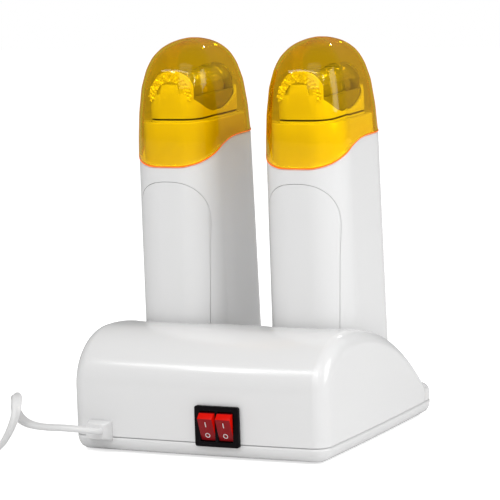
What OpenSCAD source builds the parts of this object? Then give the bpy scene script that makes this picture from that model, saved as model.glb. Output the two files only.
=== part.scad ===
// Roll on wax heater: a base with two docked handheld warmers.
// Millimetres. The front faces -Y, switches and cord are at +Y, up is +Z.
// The origin is the middle of the footprint, on the table.

/* [Base] */
// Width of the base at its corners
base_w = 140; // [130:1:170]
// Depth of the base at its corners
base_d = 142.8; // [130:0.2:170]
// How far the middle of each side bows out
base_bow = 1.2; // [0:0.1:2]
// Height of the seam between hood and tray
seam_z = 8.6; // [7:0.1:11]
// Highest point of the hood
hood_top_z = 60.5; // [56:0.5:70]
// Radius of the rounded edge along the two ends of the hood
edge_r = 7.5; // [5:0.5:9]
// Where the curve over the rear edge begins, measured in from the rear wall
rear_round_d = 33; // [26:0.5:36]
// Height of the curve over the rear edge
rear_round_h = 27.5; // [22:0.5:30]
// How far the front lip stands out before the sloping front
lip_d = 8.4; // [6:0.2:12]
// Height of the front lip
lip_z = 17.5; // [15:0.5:20]
// Wall thickness of hood and tray
hood_wall = 2.4; // [2:0.1:3]
// Height of the underside of the tray
tray_z = 1; // [0.6:0.1:2]
// Diameter of a rubber foot
foot_dia = 13; // [10:0.5:16]

/* [Switches] */
// Centre of the switch opening in X
switch_x = -13; // [-20:0.5:-8]
// Centre of the switch opening in Z, which is the rockers' hinge line
switch_z = 17.5; // [16:0.5:22]
// Width of the switch bezel
bezel_w = 24; // [22:0.5:26]
// Height of the switch bezel
bezel_h = 20.4; // [19:0.2:21]
// How far the bezel stands out from the rear wall
bezel_out = 2; // [1:0.1:3]
// Width of one rocker
rocker_w = 7.9; // [7:0.1:8.2]
// Diameter of the rocker's hinge pins
rocker_pin_dia = 2; // [1.6:0.1:2.4]

/* [Cord] */
// Thickness of the flat twin cord
cord_t = 2.9; // [2.4:0.1:3.4]
// Width of the flat twin cord
cord_w = 5.5; // [5:0.1:6]
// Centre of the cord outlet in X
gland_x = 53.5; // [50:0.5:56]
// Centre of the cord outlet in Z
gland_z = 11.8; // [11:0.1:13]
// How far the cord outlet stands out behind the corner line of the rear wall
gland_reach = 8.6; // [6:0.2:10]
// Radius of the innermost loop of the coil
coil_r = 25.5; // [24:0.5:28]
// Turns in each of the two layers of the coil
coil_turns = 2.875; // [1.875:1:3.875]

/* [Handset] */
// Width of a handset just under its cap
handset_w = 45.2; // [42:0.2:48]
// Depth of a handset just under its cap
handset_d = 68.4; // [64:0.2:72]
// Corner radius of a handset
handset_r = 18.3; // [16:0.1:20]
// Height of the shoulder that the cap comes down to, at the front
shoulder_h = 139.5; // [134:0.1:144]
// How far the shoulder drops towards the back
shoulder_drop = 12.8; // [12.5:0.1:14]
// Lean of the docked handsets towards the back, degrees
lean = 1.4; // [0:0.1:3]
// Distance of each handset from the middle of the base
dock_x = 36.4; // [35:0.2:38]
// Wall thickness of a handset
handset_wall = 2.2; // [1.8:0.1:2.6]
// Half width of the rear cover at its widest
cover_half_w = 20.1; // [16:0.1:21]
// Height of the top of the rear cover
cover_top_h = 119.5; // [110:0.5:120]
// Wall thickness of the clear cap
cap_wall = 1.6; // [1.2:0.1:2]

/* [Cartridge] */
// Width of the sleeve round the cartridge
sleeve_w = 29; // [27:0.2:30]
// Depth of the sleeve round the cartridge
sleeve_d = 54; // [50:0.2:56]
// Wall thickness of the sleeve
sleeve_wall = 1.4; // [1.2:0.1:1.8]
// Height of the top of the sleeve
sleeve_top_h = 163.5; // [160:0.5:166]
// Height of the roller's axis
roller_h = 163; // [161:0.5:165]
// Largest radius of the roller
roller_r = 9.7; // [9:0.1:10.4]
// Diameter of the roller's axle pins
axle_dia = 3; // [2.5:0.1:4]

/* [Hidden] */

$fn = 48;
tiny = 0.01;

// Clearances, all named once
body_gap = 0.3;   // between pieces that move apart
cap_gap = 0.45;   // under the cap's lower edge
fit_gap = 0.1;    // round a fixed piece in its opening
run_gap = 0.05;   // radial play of a running pin

// Colours
white_shell = [0.93, 0.93, 0.94];
amber_clear = [1.0, 0.72, 0.02, 0.6];
black_part = [0.03, 0.03, 0.03];
red_part = [0.7, 0.02, 0.03];
brass_part = [0.8, 0.62, 0.3];
grey_metal = [0.7, 0.7, 0.72];

// Base: derived places
base_y = (base_bow - gland_reach) / 2;
hood_half_d = base_d / 2;
hood_front_y = lip_d - hood_half_d;
hood_front_z = lip_z + 1;
rear_round_y = hood_half_d - rear_round_d;
rear_round_z = hood_top_z - rear_round_h;
front_curve = [[rear_round_y, hood_top_z], [-4, hood_top_z], [-34, 44], [hood_front_y, hood_front_z]];
seam_groove = 0.3;
tray_floor_z = tray_z + hood_wall;
post_dia = 7;
post_places = [[60, 58, 52.6], [-60, 58, 52.6], [62, -60, 18.2], [-62, -60, 18.2]];
screw_dia = 2.9;
screw_head_dia = 5.6;
screw_head_z = 4;
foot_places = [[44, 54], [-44, 54], [44, -54], [-44, -54]];
foot_recess = 0.6;

// Docks and handsets: derived places
dock_y = -15.3;
dock_z = 14;
taper = 0.0076;
taper_ref_h = 136;
well_side_gap = 5.2;
well_end_gap = 2.5;
well_wall = 1.6;
well_floor = 2;
guide_t = 1.6;
guide_y = 11;
guide_reach = well_side_gap - body_gap - 0.1;
well_w = handset_w + 2 * taper * taper_ref_h + 2 * well_side_gap;
well_d = handset_d + 2 * taper * taper_ref_h + 2 * well_end_gap;
well_r = handset_r + well_end_gap;
collar_inset = 3;
collar_wall = 2;
collar_foot_h = 118;
collar_top_h = 149.5;
sleeve_r = 9;
sleeve_foot_h = 20;
notch_r = 36;
notch_h = 153;
notch_x = 9.5;
bottle_gap = 0.4;
bottle_w = sleeve_w - 2 * (sleeve_wall + bottle_gap);
bottle_d = sleeve_d - 2 * (sleeve_wall + bottle_gap);
bottle_r = sleeve_r - sleeve_wall - bottle_gap;
head_foot_h = 146;
head_top_h = 162;
neck_top_h = sleeve_top_h + 5;
cheek_r = 12.2;
cheek_t = 3.1;
window_w = 6;
window_foot_h = 52;
window_top_h = 112;
flange_t = 1.2;
flange_lap = 2;
contact_x = 4;
contact_dia = 3;

// Height of the cap's lower edge by the place along the handset's depth
shoulder = [[40, shoulder_h - shoulder_drop], [34.5, shoulder_h - shoulder_drop],
  [33.5, shoulder_h - 12.4], [31.5, shoulder_h - 11.6], [29, shoulder_h - 10.5],
  [26, shoulder_h - 9], [22, shoulder_h - 7], [18, shoulder_h - 4.9], [14, shoulder_h - 3.2],
  [9, shoulder_h - 1.8], [3.5, shoulder_h - 0.6], [-2, shoulder_h - 0.1],
  [-8, shoulder_h], [-40, shoulder_h]];

// Clear cap: height and size of each level, outside and inside
cap_outside = [[141.2, 1], [147.4, 0.985], [153.6, 0.97], [160, 0.94], [166.2, 0.91],
  [169.4, 0.88], [172.5, 0.847], [175.6, 0.81], [178.8, 0.755], [181.9, 0.685],
  [184.4, 0.6], [186.6, 0.5], [188.5, 0.37], [190, 0.2]];
cap_top_h = 190.6;
cap_inside = [[141.2, 1], [153.6, 0.97], [166.2, 0.91], [172.5, 0.845], [178, 0.755],
  [182.3, 0.61], [185.5, 0.45], [187.9, 0.25]];

// Cord: points along its middle, and the way its thin side faces at each
cord_route = [[50.4, 76.3, 13.2], [50.6, 79, 13.5], [52, 83, 14.5], [56, 86.4, 15.6],
  [63, 88.3, 16.2], [72, 88, 16], [81, 85.5, 15.8], [90, 80.5, 16.2], [97, 74.8, 17.8],
  [101.3, 71, 21], [101.3, 71.4, 25.2], [98.3, 75.2, 28], [94, 81.6, 28.8],
  [90.6, 88, 27], [89.2, 91.6, 22.6], [91, 92.8, 16.4], [95.4, 92, 9.6],
  [100, 91, 4.8], [105, 92, 2.8], [111, 96, 3], [118, 100, 3], [127, 102.4, 3],
  [136, 103.5, 3], [149, 103.6, 3], [162, 103.6, 3]];
cord_thin = [[0, 0, 1], [0, 0, 1], [0, 0, 1], [0, 0, 1], [0, 0, 1], [0, 0, 1],
  [0, 0, 1], [0, 0.2, 1], [-0.3, 0.4, 1], [-1, 0.2, 0.6], [-1, -0.4, 0], [-0.5, -0.3, -1],
  [0, 0, -1], [0.3, 0, -1], [1, 0, -0.3], [1, 0, 0.3], [0.8, 0.2, 0.7],
  [0.4, 0.3, 1], [0, 0.5, 1], [-0.3, 1, 0.7], [-0.3, 1, 0.2], [0, 1, 0], [0, 1, 0], [0, 1, 0],
  [0, 1, 0]];
coil_pitch = cord_t + 0.8;
coil_layer = cord_w + 0.7;
coil_steps = 24;
coil_rings = (2 * coil_turns + 0.5) * coil_steps;
coil_outer_r = coil_r + (coil_turns + 0.5) * coil_pitch;
coil_start = cord_route[len(cord_route) - 1];
coil_centre = [coil_start.x, coil_start.y - coil_outer_r];
coil_end_z = coil_start.z + coil_layer;
coil_tail = 24;
plug_w = 34;

// Two points mixed
function mix(a, b, t) = a + (b - a) * t;

// A vector made one long
function unit(v) = v / norm(v);

// Centre of corner q of a rectangle with half sizes hx and hy
function corner(q, hx, hy) = [[hx, hy], [-hx, hy], [-hx, -hy], [hx, -hy]][q % 4];

// Rounded rectangle, anticlockwise: nc steps round a corner, nx and ny points along the sides
function rounded_ring(w, d, r, nc, nx, ny) =
  let (hx = w / 2 - r, hy = d / 2 - r)
  [for (q = [0:3])
    let (c = corner(q, hx, hy), n = corner(q + 1, hx, hy), a = 90 * (q + 1),
      s = r * [cos(a), sin(a)], m = (q % 2 == 0) ? nx : ny)
    each concat(
      [for (k = [0:nc]) c + r * [cos(90 * (q + k / nc)), sin(90 * (q + k / nc))]],
      [for (k = [1:1:m]) mix(c + s, n + s, k / (m + 1))])];

// A flat ring lifted to height z
function lifted(ring, z) = [for (p = ring) [p.x, p.y, z]];

// The outward bow of the base, the same for hood and tray
function bowed(p) = [
  p.x * (1 + base_bow / (base_w / 2) * (1 - pow(p.y / hood_half_d, 2))),
  p.y * (1 + base_bow / hood_half_d * (1 - pow(min(abs(p.x) / (base_w / 2), 1), 2))),
  p.z];

// Outline of the base, moved in by inset, at height z
function plan_ring(inset, z) =
  [for (p = lifted(rounded_ring(base_w - 2 * inset, base_d - 2 * inset,
      max(edge_r - inset, 0.8), 7, 4, 4), z)) bowed(p)];

// Where the bowed walls lie at a given place along them
function wall_y(x) = hood_half_d + base_bow * (1 - pow(x / (base_w / 2), 2));
function wall_x(y) = base_w / 2 + base_bow * (1 - pow(y / hood_half_d, 2));

// Point t of the curve down the front, and its outward direction
function curve_at(c, t) =
  pow(1 - t, 3) * c[0] + 3 * pow(1 - t, 2) * t * c[1] + 3 * (1 - t) * t * t * c[2] + pow(t, 3) * c[3];
function curve_out(c, t) =
  let (v = pow(1 - t, 2) * (c[1] - c[0]) + 2 * (1 - t) * t * (c[2] - c[1]) + t * t * (c[3] - c[2]))
  unit([v.y, -v.x]);

// Side profile of the hood, moved in by inset, standing on height foot
function hood_profile(inset, foot) = concat(
  [[hood_half_d - inset, foot], [hood_half_d - inset, (foot + rear_round_z) / 2]],
  [for (a = [0:10:90])
    [rear_round_y, rear_round_z] + [rear_round_d * cos(a), rear_round_h * sin(a)]
      - inset * unit([cos(a) / rear_round_d, sin(a) / rear_round_h])],
  [for (t = [1:12]) curve_at(front_curve, t / 12) - inset * curve_out(front_curve, t / 12)],
  [[hood_front_y + inset, foot], [0, foot]]);

// One station of the hood, at place x of a form that is half_w wide with end rounding r
function hood_ring(x, half_w, r, inset, foot, size) =
  let (e = max(abs(x) - half_w + r, 0), d = r - sqrt(max(r * r - e * e, 0)), c = [4, 28])
  [for (p = hood_profile(inset + d, foot))
    let (q = c + (p - c) * size) bowed([x, q.x, max(q.y, foot)])];

// Stations of the hood along X, with smaller ones inside the two ends
function hood_rings(inset, foot) =
  let (half_w = base_w / 2 - inset, r = edge_r - inset, ends = [90, 72, 54, 36, 18, 0])
  concat(
    [for (s = [0.3, 0.65]) hood_ring(-half_w, half_w, r, inset, foot, s)],
    [for (a = ends) hood_ring(-half_w + r - r * sin(a), half_w, r, inset, foot, 1)],
    [for (x = [-32, 0, 32]) hood_ring(x, half_w, r, inset, foot, 1)],
    [for (i = [5:-1:0]) hood_ring(half_w - r + r * sin(ends[i]), half_w, r, inset, foot, 1)],
    [for (s = [0.65, 0.3]) hood_ring(half_w, half_w, r, inset, foot, s)]);

// Solid through a stack of rings, its two ends closed to their middle points
module loft(rings) {
  n = len(rings[0]);
  m = len(rings);
  first = [for (k = [0:2]) sum([for (p = rings[0]) p[k]]) / n];
  last = [for (k = [0:2]) sum([for (p = rings[m - 1]) p[k]]) / n];
  polyhedron(
    points = concat([for (r = rings) each r], [first, last]),
    faces = concat(
      [for (i = [0:m - 2]) for (j = [0:n - 1])
        let (a = i * n + j, b = i * n + (j + 1) % n)
        each [[a, a + n, b + n], [a, b + n, b]]],
      [for (j = [0:n - 1]) [n * m, j, (j + 1) % n]],
      [for (j = [0:n - 1]) [n * m + 1, (m - 1) * n + (j + 1) % n, (m - 1) * n + j]]));
}

// Total of a list
function sum(v) = v * [for (i = v) 1];

// Solid between two rings whose sides are parallel, with flat faces
module frustum(low, high) {
  n = len(low);
  polyhedron(
    points = concat(low, high),
    faces = concat(
      [[for (j = [0:n - 1]) j]],
      [[for (j = [0:n - 1]) 2 * n - 1 - j]],
      [for (j = [0:n - 1]) [j, j + n, (j + 1) % n + n, (j + 1) % n]]));
}

// Open cup: outer rings up to a top point, inner rings up to a lower top point
module cup(outer, top, inner, ceiling) {
  n = len(outer[0]);
  m = len(outer);
  k = len(inner);
  all = concat([for (r = outer) each r], [for (r = inner) each r], [top, ceiling]);
  s = n * m;
  polyhedron(points = all, faces = concat(
    [for (i = [0:m - 2]) for (j = [0:n - 1])
      let (a = i * n + j, b = i * n + (j + 1) % n)
      each [[a, a + n, b + n], [a, b + n, b]]],
    [for (j = [0:n - 1]) [s + n * k, s - n + (j + 1) % n, s - n + j]],
    [for (i = [0:k - 2]) for (j = [0:n - 1])
      let (a = s + i * n + j, b = s + i * n + (j + 1) % n)
      each [[a, b + n, a + n], [a, b, b + n]]],
    [for (j = [0:n - 1]) [s + n * k + 1, s + n * (k - 1) + j, s + n * (k - 1) + (j + 1) % n]],
    [for (j = [0:n - 1])
      let (a = j, b = (j + 1) % n)
      each [[a, b, s + b], [a, s + b, s + a]]]));
}

// Round or rounded bar with its section turned to face along Y
module along_y() {
  rotate([-90, 0, 0]) children();
}

// Flat shape drawn in depth and height, made w wide about the middle
module across(w) {
  rotate([90, 0, 90]) linear_extrude(w, center = true) children();
}

// Flat shape drawn in width and height, made d deep from y on
module facing(y, d) {
  translate([0, y + d, 0]) rotate([90, 0, 0]) linear_extrude(d) children();
}

// Rounded rectangle
module rounded(w, d, r) {
  polygon(rounded_ring(w, d, r, 7, 0, 0));
}

// Places the base about the origin
module at_base() {
  translate([0, base_y, 0]) children();
}

// Places a piece in the dock on one side
module at_dock(side) {
  translate([side * dock_x, base_y + dock_y, dock_z]) rotate([-lean, 0, 0]) children();
}

// ---------------------------------------------------------------- base

// Space inside a well, from its floor up past the hood
module well_space() {
  translate([0, 0, -body_gap])
    linear_extrude(hood_top_z) rounded(well_w, well_d, well_r);
}

// Tab that stands up from the tray's wall behind the hood's
module tab(turn, reach) {
  rotate([0, 0, turn]) hull() {
    translate([-6, reach - 4.4, 5]) cube([12, 2, 1]);
    translate([-5, reach - 4.4, 11]) cube([10, 4.1 - hood_wall - body_gap, 2]);
  }
}

module hood() {
  color(white_shell) render() at_base() difference() {
    union() {
      loft(hood_rings(0, seam_z));
      loft([for (k = [[seam_z, 0.15], [lip_z - 4, 0.15], [lip_z - 2.8, 0.4],
        [lip_z - 1.5, 1.2], [lip_z - 0.6, 2.4], [lip_z, 4.2]]) plan_ring(k[1], k[0])]);
    }
    loft(hood_rings(hood_wall, 0));
    frustum(plan_ring(hood_wall, 0), plan_ring(hood_wall, lip_z - hood_wall));
    for (side = [-1, 1])
      translate([0, -base_y, 0]) at_dock(side) well_space();
    translate([switch_x, hood_half_d, switch_z])
      cube([bezel_w - 3, 12, bezel_h - 3.4], center = true);
    translate([gland_x, hood_half_d, seam_z])
      cube([8.2 + 2 * fit_gap, 12, 12.8], center = true);
  }
}

module tray() {
  color(white_shell) at_base() difference() {
    union() {
      loft([for (k = [[tray_z, 6], [tray_z + 0.35, 4], [2.6, 1.9], [4.6, 0.6], [7, 0],
        [seam_z - seam_groove, 0], [seam_z - seam_groove, 0.8], [seam_z, 0.8],
        [seam_z, hood_wall], [tray_floor_z + 1, hood_wall + 0.6],
        [tray_floor_z, hood_wall + 3]]) plan_ring(k[1], k[0])]);
      for (p = post_places)
        translate([p.x, p.y, tray_z + 1]) cylinder(h = seam_z - tray_z - 1, d = 9);
      for (x = [-46, 25]) translate([x, 0, 0]) tab(0, wall_y(x));
      for (y = [-57, 35]) for (turn = [-90, 90]) translate([0, y, 0]) tab(turn, wall_x(y));
    }
    for (p = post_places) {
      translate([p.x, p.y, 0]) cylinder(h = screw_head_z, d = screw_head_dia + 0.6);
      translate([p.x, p.y, 0]) cylinder(h = 20, d = screw_dia + 2 * run_gap);
    }
    for (p = foot_places)
      translate([p.x, p.y, 0]) cylinder(h = tray_z + foot_recess, d = foot_dia + 2 * fit_gap);
  }
}

// Ribs on a well's side walls that keep the handset upright
module guides(side) {
  color(white_shell) at_dock(side) for (s = [-1, 1]) for (y = [-guide_y, guide_y])
    translate([0, y + guide_t / 2, 0]) rotate([90, 0, 0]) linear_extrude(guide_t) polygon([
      [s * well_w / 2, -body_gap], [s * (well_w / 2 - guide_reach), -body_gap],
      [s * (well_w / 2 - guide_reach), 5], [s * well_w / 2, 24]]);
}

module well(side) {
  color(white_shell) render() difference() {
    intersection() {
      at_dock(side) union() {
        difference() {
          translate([0, 0, -body_gap - well_floor]) linear_extrude(hood_top_z)
            rounded(well_w + 2 * well_wall, well_d + 2 * well_wall, well_r + well_wall);
          well_space();
        }
      }
      at_base() loft(hood_rings(hood_wall, 0));
    }
  }
}

module guides_left() {
  guides(-1);
}

module guides_right() {
  guides(1);
}

module well_left() {
  well(-1);
}

module well_right() {
  well(1);
}

module screw_posts() {
  color(white_shell) at_base() for (p = post_places)
    translate([p.x, p.y, seam_z]) difference() {
      cylinder(h = p.z - seam_z, d = post_dia);
      translate([0, 0, -1]) cylinder(h = 8, d = screw_dia + 2 * run_gap);
    }
}

module base_screws() {
  color(grey_metal) at_base() for (p = post_places) {
    translate([p.x, p.y, screw_head_z - 1.8]) cylinder(h = 1.8, d = screw_head_dia);
    translate([p.x, p.y, screw_head_z]) cylinder(h = 10, d = screw_dia);
  }
}

module feet() {
  color(black_part) at_base() for (p = foot_places)
    translate([p.x, p.y, 0]) cylinder(h = tray_z + foot_recess, d = foot_dia);
}

// ---------------------------------------------------------------- switches

bezel_y = wall_y(switch_x) + 0.04;
rocker_pitch = rocker_w + 1.9;
pin_reach = 0.9;

// Places something at the hinge line, with Y counted out from the rear wall
module at_switch() {
  translate([switch_x, base_y + bezel_y, switch_z]) children();
}

module switch_bezel() {
  color(black_part) at_switch() difference() {
    union() {
      facing(0, bezel_out) rounded(bezel_w, bezel_h, 1.2);
      facing(-7, 7) rounded(bezel_w - 3 - 2 * fit_gap, bezel_h - 3.4 - 2 * fit_gap, 0.6);
    }
    for (s = [-1, 1]) translate([s * rocker_pitch / 2, 0, 0])
      cube([rocker_w + 2 * fit_gap, 20, 15.4], center = true);
    rotate([0, 90, 0])
      cylinder(h = 2 * rocker_pitch - 2 * fit_gap + 2 * pin_reach - 1.6, d = rocker_pin_dia + 2 * run_gap,
        center = true);
  }
}

module switch_body() {
  color(black_part) at_switch() facing(-22, 15) rounded(bezel_w - 4, bezel_h - 4.4, 0.6);
}

module switch_terminals() {
  color(brass_part) at_switch() for (x = [-5, 5]) for (z = [-5, 0, 5])
    translate([x - 2.4, -30, z - 0.4]) cube([4.8, 8, 0.8]);
}

module rocker(s) {
  color(red_part) at_switch() translate([s * rocker_pitch / 2, 0, 0]) union() {
    across(rocker_w) polygon([[0.9, -7.1], [5.5, 4.3], [3.1, 6.8], [-1, 6.8], [-4.5, 3.5],
      [-4.5, -3.5], [-1, -6.9]]);
    rotate([0, 90, 0]) cylinder(h = rocker_w + 2 * pin_reach, d = rocker_pin_dia, center = true);
  }
}

module rocker_left() {
  rocker(-1);
}

module rocker_right() {
  rocker(1);
}

// ---------------------------------------------------------------- cord

gland_y = hood_half_d + gland_reach;
gland_back_y = wall_y(gland_x - 6.7);

module cord_gland() {
  color(white_shell) at_base() translate([gland_x, 0, gland_z]) union() {
    along_y() frustum(
      lifted(rounded_ring(13.5, 10.5, 1, 4, 0, 0), gland_back_y),
      [for (p = rounded_ring(9.5, 7.3, 1, 4, 0, 0)) [p.x - 0.6, p.y - 0.8, gland_y]]);
    facing(hood_half_d - 4, gland_back_y - hood_half_d + 4) translate([0, -0.05]) square([8.2, 6.2], center = true);
    facing(hood_half_d - 5.6, 2.2) square([12, 6.2], center = true);
  }
}

module cord_tail() {
  color(white_shell) at_base() translate([gland_x, 0, gland_z])
    facing(42, hood_half_d - 5.6 - 42) rounded(cord_w, cord_t, cord_t / 2 - tiny);
}

module cord_clamp() {
  color(black_part) at_base() translate([gland_x, 44.5, 0]) difference() {
    translate([-8, 0, tray_floor_z]) cube([16, 7, 13]);
    translate([-cord_w / 2 - fit_gap, -1, gland_z - cord_t / 2 - fit_gap])
      cube([cord_w + 2 * fit_gap, 9, cord_t + 2 * fit_gap]);
  }
}

module terminal_block() {
  color(black_part) at_base() translate([gland_x, 30, tray_floor_z]) difference() {
    translate([-7, 0, 0]) cube([14, 12, 12]);
    for (x = [-3.5, 3.5]) translate([x, 6, 6]) cylinder(h = 10, d = 4);
  }
}

module dock_contacts() {
  color(brass_part) for (side = [-1, 1]) at_dock(side) for (x = [-contact_x, contact_x])
    translate([x, 0, -6]) cylinder(h = 6.5, d = contact_dia);
}

// Directions along a route
function way(route, i) =
  unit(route[min(i + 1, len(route) - 1)] - route[max(i - 1, 0)]);

// One ring of a flat cord of n sides, at p, running along t, thin towards u
function cord_ring(p, t, u, n) =
  let (side = unit(cross(u, t)), up = unit(cross(t, side)))
  [for (k = [0:n - 1]) let (a = 360 * (k + 0.5) / n)
    p + side * cord_w / 2 * rounded_cos(a) + up * cord_t / 2 * rounded_sin(a)];

// Section of the cord: a flattened round
function rounded_cos(a) = sign(cos(a)) * min(abs(cos(a)) * 1.08, 1);
function rounded_sin(a) = sign(sin(a)) * min(abs(sin(a)) * 1.3, 1);

module cord_run() {
  color(white_shell) loft([for (i = [0:len(cord_route) - 1])
    cord_ring(cord_route[i], way(cord_route, i), cord_thin[i], 10)]);
}

// Radius of the coil after s turns: in, half a turn up, out quickly, then out steadily
function coil_radius(s) =
  let (k = coil_turns, least = coil_outer_r - coil_pitch * (k + 0.5))
  s < k + 0.5 ? coil_outer_r - coil_pitch * s
  : s < k + 1 ? least + 3 * coil_pitch * (s - k - 0.5)
  : least + 1.5 * coil_pitch + coil_pitch * (s - k - 1);

// Rise of the coil after s turns
function coil_rise(s) =
  let (t = min(max((s - coil_turns) * 2, 0), 1)) coil_layer * t * t * (3 - 2 * t);

// Middle of the coil's cord at ring i, with a straight length before and after
function coil_at(i) =
  let (s = min(max(i, 0), coil_rings) / coil_steps, a = 90 - 360 * s, r = coil_radius(s))
  [coil_centre.x + r * cos(a), coil_centre.y + r * sin(a), coil_start.z + coil_rise(s)];

coil_path = [for (i = [0:coil_rings]) coil_at(i)];
coil_first_way = [1, 0, 0];
coil_last_way = unit(coil_path[coil_rings] - coil_path[coil_rings - 1]);
coil_line = concat(coil_path, [coil_path[coil_rings] + coil_last_way * coil_tail]);

// Least gap of the coil to itself, over all pairs of rings a half turn or more apart
coil_gap = min([for (i = [0:coil_rings]) for (j = [i + 12:1:coil_rings])
  let (d = coil_path[j] - coil_path[i])
  max(norm([d.x, d.y]) - cord_t, abs(d.z) - cord_w)]);
echo(coil_gap = coil_gap);

// Length of the cord along its middle
function length_of(line) = sum([for (i = [1:len(line) - 1]) norm(line[i] - line[i - 1])]);
echo(cord_length = length_of(cord_route) + length_of(coil_line));

module cord_coil() {
  n = len(coil_line);
  color(white_shell) loft([for (i = [0:n - 1])
    let (t = i == 0 ? coil_first_way : way(coil_line, i),
      out = unit([t.y, -t.x, 0]))
    cord_ring(coil_line[i], t, -out, 6)]);
}

coil_end = coil_line[len(coil_line) - 1];
plug_turn = atan2(coil_last_way.y, coil_last_way.x);

// Places a piece at the end of the cord, with X along the cord
module at_plug() {
  translate(coil_end) rotate([0, 0, plug_turn]) children();
}

module plug() {
  color(white_shell) at_plug() hull() {
    translate([0, 0, 0]) rotate([90, 0, 90]) linear_extrude(2) rounded(12, 10, 3);
    translate([14, 0, 0]) rotate([90, 0, 90]) linear_extrude(2) rounded(plug_w - 2, 2 * coil_end.z, 6);
    translate([34, 0, 0]) rotate([90, 0, 90]) linear_extrude(2) rounded(plug_w, 2 * coil_end.z, 6);
  }
}

module plug_pins() {
  color(brass_part) at_plug() for (y = [-9.5, 9.5])
    translate([36, y, 0]) rotate([0, 90, 0]) cylinder(h = 19, d = 4);
}

// ---------------------------------------------------------------- handset

// Section of the handset at height h, moved in by inset
function handset_ring(h, inset) =
  let (grow = 2 * taper * (taper_ref_h - h) - 2 * inset)
  lifted(rounded_ring(handset_w + grow, handset_d + grow, handset_r - inset, 8, 0, 0), h);

// The handset's form between two heights, moved in by inset
module handset_form(inset, low, high) {
  frustum(handset_ring(low, inset), handset_ring(high, inset));
}

// Everything under the shoulder line
module under_shoulder() {
  across(100) polygon(concat(shoulder, [[-40, -5], [40, -5]]));
}

// Arch of the rear cover, made larger by grow
module arch(grow) {
  half = cover_half_w + grow;
  top = cover_top_h + grow;
  polygon(concat(
    [[half - 1.6, -8], [half - 1.6, 47], [half - 0.7, 82]],
    [for (a = [0:10:180]) [half * sign(cos(a)) * pow(abs(cos(a)), 0.77),
      97.5 + (top - 97.5) * pow(sin(a), 0.77)]],
    [[-half + 0.7, 82], [-half + 1.6, 47], [-half + 1.6, -8]]));
}

// Upright slot shape in the front
module slot(grow) {
  translate([0, (window_foot_h + window_top_h) / 2])
    rounded(window_w + 2 * grow, window_top_h - window_foot_h + 2 * grow, window_w / 2 + grow - tiny);
}

module handset_body(side) {
  color(white_shell) at_dock(side) difference() {
    union() {
      intersection() {
        handset_form(0, 0, 145);
        under_shoulder();
      }
      handset_form(collar_inset, collar_foot_h, collar_top_h);
    }
    handset_form(handset_wall, handset_wall, collar_foot_h);
    handset_form(collar_inset + collar_wall, collar_foot_h - 1, collar_top_h - collar_wall);
    translate([0, 0, collar_top_h - 5]) linear_extrude(10)
      rounded(sleeve_w + 1.2, sleeve_d + 1.2, sleeve_r + 0.6);
    intersection() {
      facing(14, 40) arch(0);
      translate([-30, 14, handset_wall]) cube([60, 40, 130]);
    }
    facing(-40, 10) slot(0);
    translate([0, 0, -1]) linear_extrude(6) rounded(20, 14, 2);
  }
}

// Part of the handset's wall between two insets
module wall_slice(outer, inner) {
  difference() {
    handset_form(outer, handset_wall + 0.4, 124);
    handset_form(inner, 0, 126);
  }
}

module rear_cover(side) {
  color(white_shell) at_dock(side) union() {
    intersection() {
      wall_slice(0, handset_wall);
      facing(14, 40) arch(-0.25);
    }
    intersection() {
      wall_slice(handset_wall, handset_wall + flange_t);
      translate([-30, 14, handset_wall + 1]) cube([60, 40, 113]);
      facing(14, 40) arch(0);
    }
  }
}

module level_window(side) {
  color(amber_clear) at_dock(side) union() {
    intersection() {
      wall_slice(0, handset_wall);
      facing(-40, 20) slot(-fit_gap);
    }
    intersection() {
      wall_slice(handset_wall, handset_wall + flange_t);
      facing(-40, 20) slot(flange_lap);
    }
  }
}

module inner_sleeve(side) {
  color(white_shell) at_dock(side) difference() {
    union() {
      translate([0, 0, sleeve_foot_h]) linear_extrude(sleeve_top_h - sleeve_foot_h)
        rounded(sleeve_w, sleeve_d, sleeve_r);
      translate([0, 0, collar_top_h - collar_wall - 2]) linear_extrude(2)
        rounded(sleeve_w + 5, sleeve_d + 3, handset_r - collar_inset - collar_wall - 0.6);
      for (s = [-1, 1]) facing(s * (sleeve_d - sleeve_wall) / 2 - sleeve_wall / 2, sleeve_wall)
        polygon([[-5.4, sleeve_top_h - 2], [-4.2, neck_top_h], [4.2, neck_top_h],
          [5.4, sleeve_top_h - 2]]);
    }
    translate([0, 0, collar_top_h + 0.7]) linear_extrude(0.9) difference() {
      square(2 * sleeve_d, center = true);
      rounded(sleeve_w - 1.7, sleeve_d - 1.7, sleeve_r - 0.85);
    }
    translate([0, 0, sleeve_foot_h + sleeve_wall]) linear_extrude(sleeve_top_h)
      rounded(sleeve_w - 2 * sleeve_wall, sleeve_d - 2 * sleeve_wall, sleeve_r - sleeve_wall);
    for (s = [-1, 1]) translate([s * (notch_x + 10), 1.5, notch_h + notch_r])
      rotate([0, 90, 0]) cylinder(h = 20, r = notch_r, center = true, $fn = 96);
  }
}

module heater_plate(side) {
  color(grey_metal) at_dock(side) translate([-9, sleeve_d / 2, 34]) cube([18, 1.2, 78]);
}

module heating_element(side) {
  color(black_part) at_dock(side) translate([-7.5, sleeve_d / 2 + 1.2, 52]) cube([15, 1.6, 24]);
}

module thermal_cutout(side) {
  color(brass_part) at_dock(side) translate([0, sleeve_d / 2 + 1.2, 92])
    along_y() cylinder(h = 1.8, d = 9);
}

module contact_block(side) {
  color(black_part) at_dock(side) difference() {
    union() {
      translate([0, 0, 1.6]) linear_extrude(8) rounded(20 - 2 * fit_gap, 14 - 2 * fit_gap, 2);
      translate([0, 0, handset_wall]) linear_extrude(1.4) rounded(24, 18, 3);
    }
    for (x = [-contact_x, contact_x]) translate([x, 0, 1]) cylinder(h = 3, d = 1.4);
  }
}

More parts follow.
